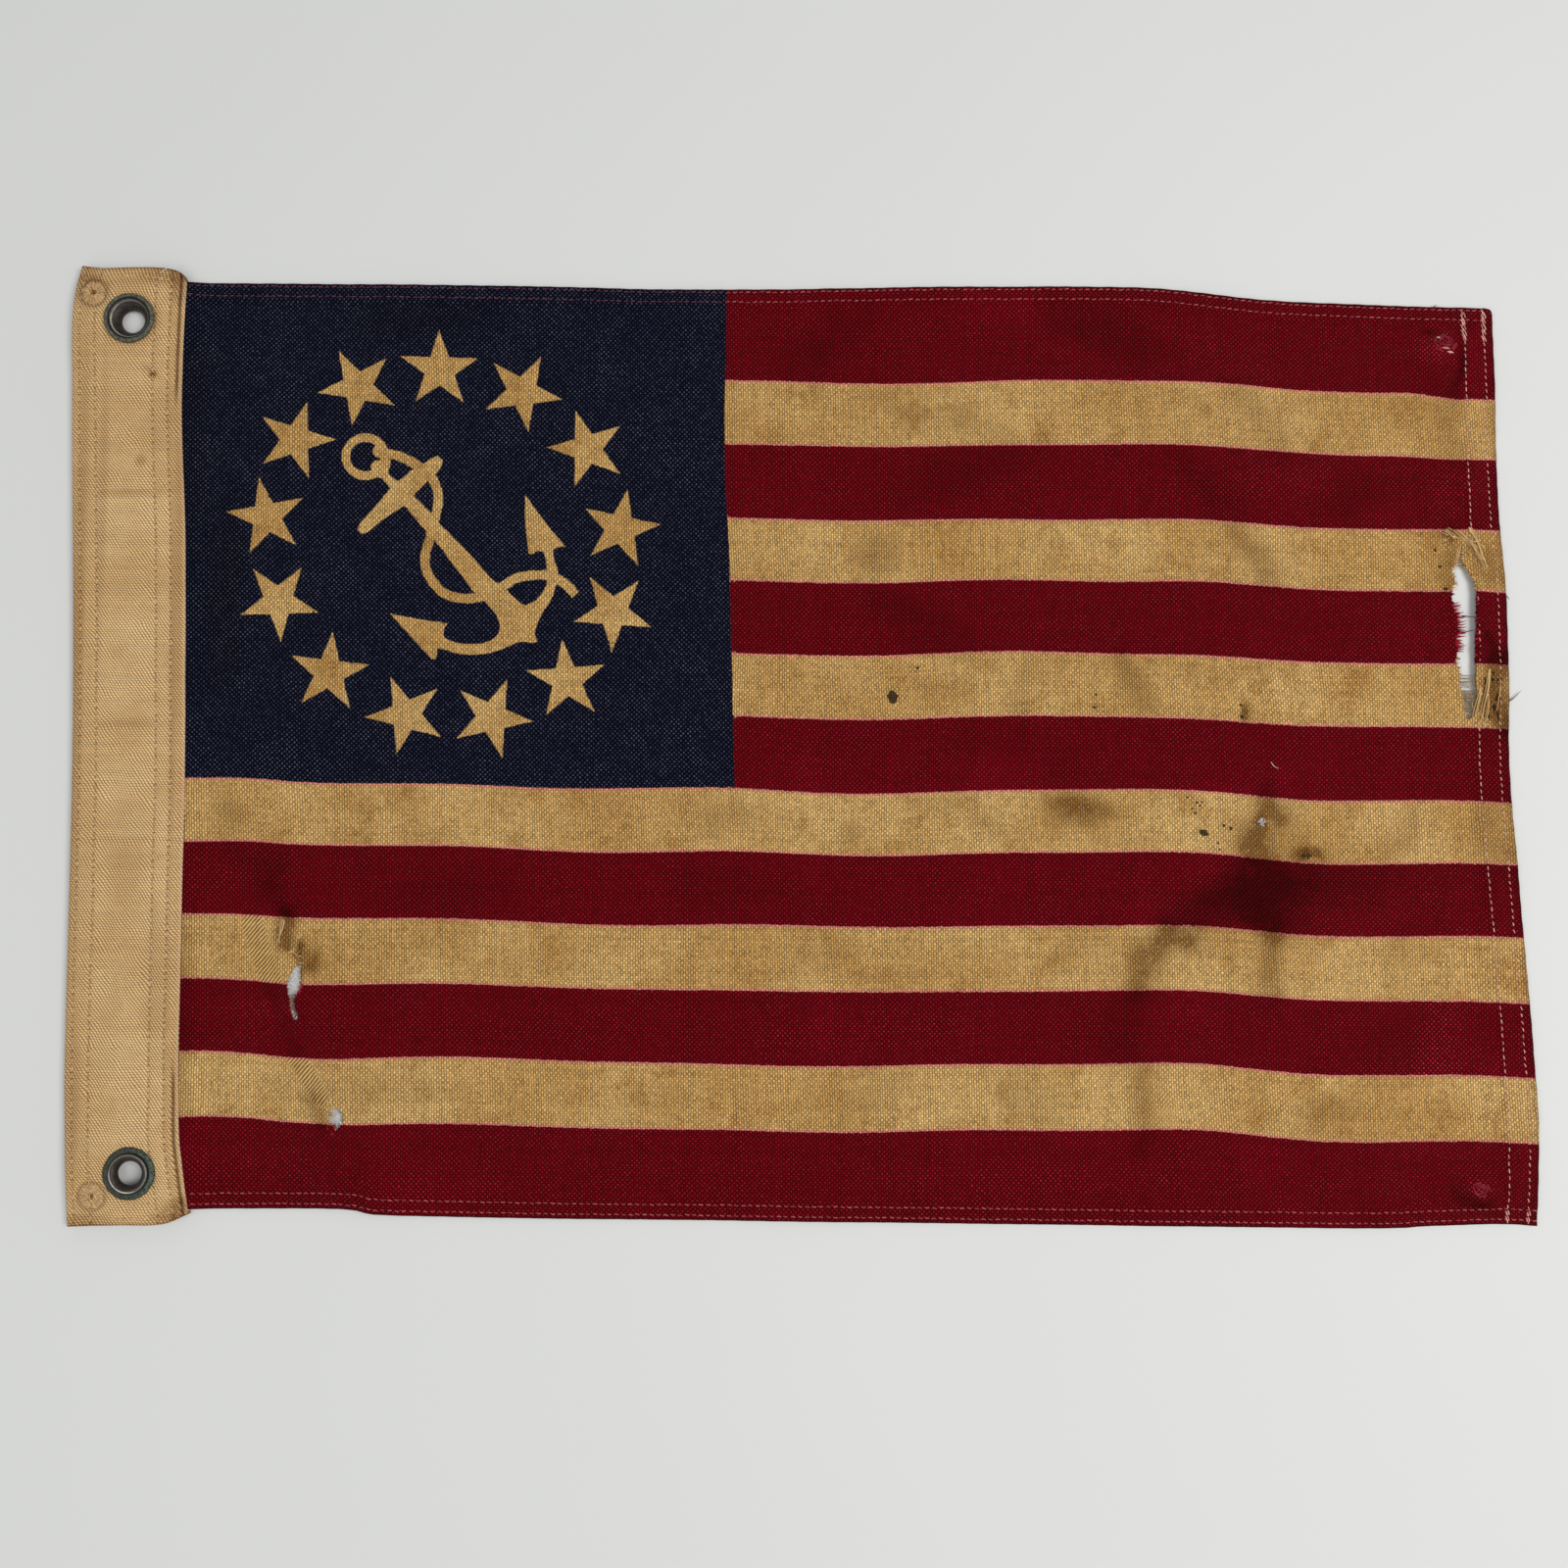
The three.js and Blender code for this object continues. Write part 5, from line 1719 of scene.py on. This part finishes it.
# Each fray's yarn, its kind, and what that kind takes. Their order is the order of the draws.
FRAYS = [
    ("red", spikes, FLY_LEFT, 196.3, 181, 34, 3.0, 1, 0.8),
    ("red", spikes, FLY_RIGHT, 199, 178, 12, 0.7, -1),
    ("red", spikes, HOIST_RIGHT, 76.5, 64, 18, 1.1, -1),
    ("red", spikes, HOIST_LEFT, 76.5, 64, 12, 0.7, 1),
    ("red", fluff, (83.4, 30.6), (1.7, 1.5), 20, 1.6, 0.3),
    ("cream", spikes, FLY_LEFT, 214, 200.5, 22, 1.7, 1, 1.2),
    ("cream", spikes, FLY_RIGHT, 213, 201, 14, 1.0, -1, 1.0),
    ("cream", spikes, FLY_LEFT, 179, 161, 24, 1.1, 1),
    ("cream", spikes, HOIST_LEFT, 90, 77, 14, 0.9, 1, 0.9),
    ("cream", spikes, HOIST_RIGHT, 90, 77, 14, 0.8, -1, 0.9),
    ("cream", spikes, LOW_HOLE[0], 38, 30, 10, 1.0, 1),
    ("cream", ladder, FLY_TEAR, 216.5, 209.0, 0.6),
    # The grey yarns are darkened to paint the shade over the tears' floor and in the hoist tear's slit.
    ("grey", ladder, FLY_TEAR, 173.6, 168, 0.55),
    ("grey", ladder, FLY_TEAR, 168, 160.3, 0.25, 0.35),
    ("grey", ladder, FLY_TEAR, 215.5, 208.5, 0.4, 0.4),
    ("grey", ladder, HOIST_TEAR, 72, 64.5, 0.55, 0.3),
    ("grey", fluff, (443, 165), (1.6, 5), 22, 2.6, 0.1),
    ("grey", fluff, (441, 212), (1.2, 3.5), 16, 2.4, 0.1),
    ("grey", ladder, HOIST_TEAR, 89, 81, 0.3, 0.3),
    ("cream", sweep, (440.5, 220.4), (449.4, 206.4), 5, 0.8, 1.0),
    ("cream", sweep, (444.6, 221.3), (449.6, 205.6), 4, 0.6, 1.1),
    ("cream", sweep, (437.2, 220.9), (442, 216.6), 4, 0.8, 0.3),
    ("cream", sweep, (442, 218), (439.7, 209.6), 3, 0.5, -0.4),
    ("cream", sweep, (446.4, 170.8), (443.4, 156.6), 4, 0.4, 0.3),
    ("cream", sweep, (449.3, 175.4), (445.0, 155.8), 5, 0.4, 0.3),
    ("cream", sweep, (448.8, 167.6), (446.9, 156.4), 4, 0.3, 0.2),
    ("cream", sweep, (452.4, 170.4), (451, 161.6), 1, 0.3, 0.2),
    ("cream", fluff, (445.5, 215.5), (3.5, 4.5), 18, 3.2, 0.6),
    ("cream", fluff, (446.6, 163), (2.2, 5), 8, 3.0, 0.5),
    ("cream", fluff, (71.5, 88), (1.5, 4), 14, 2.4, 0.4),
    ("cream", fluff, (438.2, 217), (2.6, 3), 12, 2.6, 0.5),
    ("cream", sweep, (66.2, 96.5), (65.2, 88), 3, 0.7, 0.2, 0.5),
    ("white", fluff, (85.2, 34.2), (2.3, 3.4), 12, 2.4, 0.5),
    ("white", fluff, (70.9, 77), (1.9, 3.4), 12, 2, 0.4),
    ("white", fluff, (376, 126.4), (1.4, 1.7), 30, 1.5, 0.35),
    ("white", fluff, (71.6, 66), (1.0, 2), 8, 1.6, 0.1),
    ("cream", sweep, (82.2, 40.5), (84.2, 34.0), 5, 0.8, 0.3, 0.4),
]
# Single loose threads: yarn, route, what they lie on and how far above it.
LOOSE = [
    ("dark", [(441.2, 192.6), (443.6, 192.3), (446.4, 192.1)], cotton_top, (0, 0.05, 0.1)),
    ("dark", [(439.3, 187.2), (441.6, 187.3), (443.6, 187.7), (446.6, 188.4)], cotton_top,
     (0.1, -0.1, 0, 0.1)),
    ("dark", [(455.2, 199.6), (456.2, 199.2), (457.2, 198.2)], on_floor, (0.9, 0.6, 0.2)),
    ("dark", [(455.6, 165.2), (457.2, 166.2), (459.6, 168.6)], on_floor, (0.8, 0.6, 0.9)),
    ("dark", [(435.3, 293.7), (435.9, 294.4), (436.7, 294.3)], on_floor, (0.9, 0.8, 0.7)),
    ("white", [(379.2, 145.8), (380.1, 144.4), (381.6, 143.7)], cotton_top, (0.2, 0.35, 0.2)),
    ("white", [(459.4, 10.4), (459.8, 9.4), (459.3, 8.2)], cotton_top, (0.5, 0.7, 0.4)),
    ("white", [(23.6, 303.5), (26.5, 305.6), (29.4, 305.2)], canvas_top, (0.3, 0.5, 0.2)),
]


def frays(pieces):
    draw = random.Random(SEED + 33)
    yarns = {}
    for group, kind, *values in FRAYS:
        yarns.setdefault(group, []).extend(kind(draw, *values))
    for group, route, height_at, rises in LOOSE:
        yarns.setdefault(group, []).append(strand(route, height_at, rises))
    for name, group, thick, material in (
        ("frayed_red", "red", 0.3, RED_YARN), ("loose_dark", "dark", 0.2, DARK_YARN),
        ("frayed_cream", "cream", 0.22, CREAM_YARN), ("fibres_white", "white", 0.11, WHITE_YARN),
        ("fibres_grey", "grey", 0.13, GREY_YARN),
    ):
        paths = yarns[group]
        pieces.append(tubes(name, paths, [tapered(path, thick, 0.05) for path in paths], material, 5))


def darns(pieces):
    """Two small mends near the fly, swirled into the cloth."""
    draw = random.Random(SEED + 34)
    red, pink = [], []
    for (cx, cy), size in (((438.2, 281.6), 3.6), ((441.6, 12.4), 2.6)):
        for k in range(30):
            radius = size * (0.15 + 0.85 * k / 29)
            angles = draw.uniform(0, 2 * math.pi) + np.linspace(0, draw.uniform(0.7, 1.5), 4)
            x, y = cx + draw.uniform(-0.5, 0.5), cy + draw.uniform(-0.5, 0.5)
            points = [(x + radius * math.cos(a), y + 0.8 * radius * math.sin(a)) for a in angles]
            red.append(strand(points, cotton_top, (-0.15, 0.03, 0.08, -0.15)))
    for (x, y), half in (((438.2, 279.7), 1.4), ((439.7, 278.4), 1.2), ((436.0, 283.3), 0.7)):
        points = [(x - half, y + 0.15), (x, y), (x + half, y - 0.1)]
        pink.append(strand(points, cotton_top, (0.0, 0.2, 0.0), 0.4))
    pieces.append(tubes("darns_red", red, 0.16, DARN_YARN, 5))
    pieces.append(
        tubes("darns_pink", pink, [tapered(path, 0.36, 0.05, True) for path in pink], PALE_THREAD)
    )


# ---------------------------------------------------------------- stage
FLOOR = shade(215, 215, 212)


def make_floor():
    bpy.ops.mesh.primitive_plane_add(size=8, location=(0, 0, 0))
    floor = bpy.context.object
    floor.name = "floor"
    finish = Finish("table", 0.7)
    place = finish.place()
    cloud = finish.noise(place, 5.0, 4, 0.6)
    finish.colour(finish.mix(cloud, FLOOR, tuple(c * 1.03 for c in FLOOR)))
    floor.data.materials.append(finish.material)


def area_light(name, at, size, watts, tint=(1, 1, 1)):
    light = bpy.data.lights.new(name, "AREA")
    light.shape = "DISK"
    light.size = size
    light.energy = watts
    light.color = tint
    lamp = bpy.data.objects.new(name, light)
    lamp.location = at
    lamp.rotation_euler = Vector(at).to_track_quat("Z", "Y").to_euler()
    bpy.context.scene.collection.objects.link(lamp)


def light_scene():
    area_light("key", (0.8, -0.1, 1.35), 0.8, 14.3, (1.0, 0.99, 0.97))
    area_light("fill", (-0.7, -0.5, 1.5), 1.6, 7, (0.96, 0.98, 1.0))
    world = bpy.data.worlds.new("studio")
    world.use_nodes = True
    world.node_tree.nodes["Background"].inputs["Color"].default_value = (0.93, 0.96, 1.0, 1)
    world.node_tree.nodes["Background"].inputs["Strength"].default_value = 0.42
    bpy.context.scene.world = world
    bpy.context.scene.view_settings.view_transform = "Standard"


# The photo's camera: nearly overhead, leaning a little from the foot of the flag.
CAMERA_DISTANCE = 498.0
CAMERA_TILT = math.radians(3.94)
LOOK_AT = (224.64, 138.81, 1.0)


def make_camera():
    data = bpy.data.cameras.new("camera")
    data.sensor_width, data.lens = 36, 36
    data.clip_start, data.clip_end = 0.01, 20
    camera = bpy.data.objects.new("camera", data)
    target = Vector(to_frame([LOOK_AT])[0])
    back = Vector((0, -math.sin(CAMERA_TILT), math.cos(CAMERA_TILT)))
    camera.location = target + back * CAMERA_DISTANCE * MM
    camera.rotation_euler = back.to_track_quat("Z", "Y").to_euler()
    bpy.context.scene.collection.objects.link(camera)
    bpy.context.scene.camera = camera


MAUVE = yarn("mauve thread", shade(122, 54, 78), shade(80, 32, 52))
PINK_THREAD = yarn("pink thread", shade(192, 100, 98), shade(142, 44, 54))
PALE_THREAD = yarn("pale thread", shade(234, 190, 172), shade(192, 124, 112))
TAN_THREAD = yarn("tan thread", shade(214, 182, 134), shade(172, 134, 86))
PALE_TAN = yarn("pale tan thread", shade(212, 178, 128), shade(166, 128, 82))
CREAM_YARN = yarn("cream yarn", shade(224, 188, 130), shade(160, 122, 70))
RED_YARN = yarn("red yarn", shade(172, 10, 36), shade(104, 2, 18))
DARN_YARN = yarn("darning yarn", shade(158, 24, 52), shade(92, 2, 18))
DARK_YARN = yarn("dark yarn", shade(84, 18, 30), shade(44, 20, 18))
# Grey-brown fibres: soiled, and darker to paint the shade of the floor and slit seen under them.
GREY_YARN = yarn("soiled and shaded fibre", shade(172, 146, 108), shade(106, 84, 56))
WHITE_YARN = yarn("white fibre", shade(240, 236, 232), shade(208, 202, 198))

make_camera()
make_floor()
light_scene()

field = make_field(printed_cotton())
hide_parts("field")
on_field = []
hem_stitches(on_field)
frays(on_field)
darns(on_field)

heading = make_heading(canvas())
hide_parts("heading")
on_heading = [heading_stitches(), rosettes()]

make_brass()
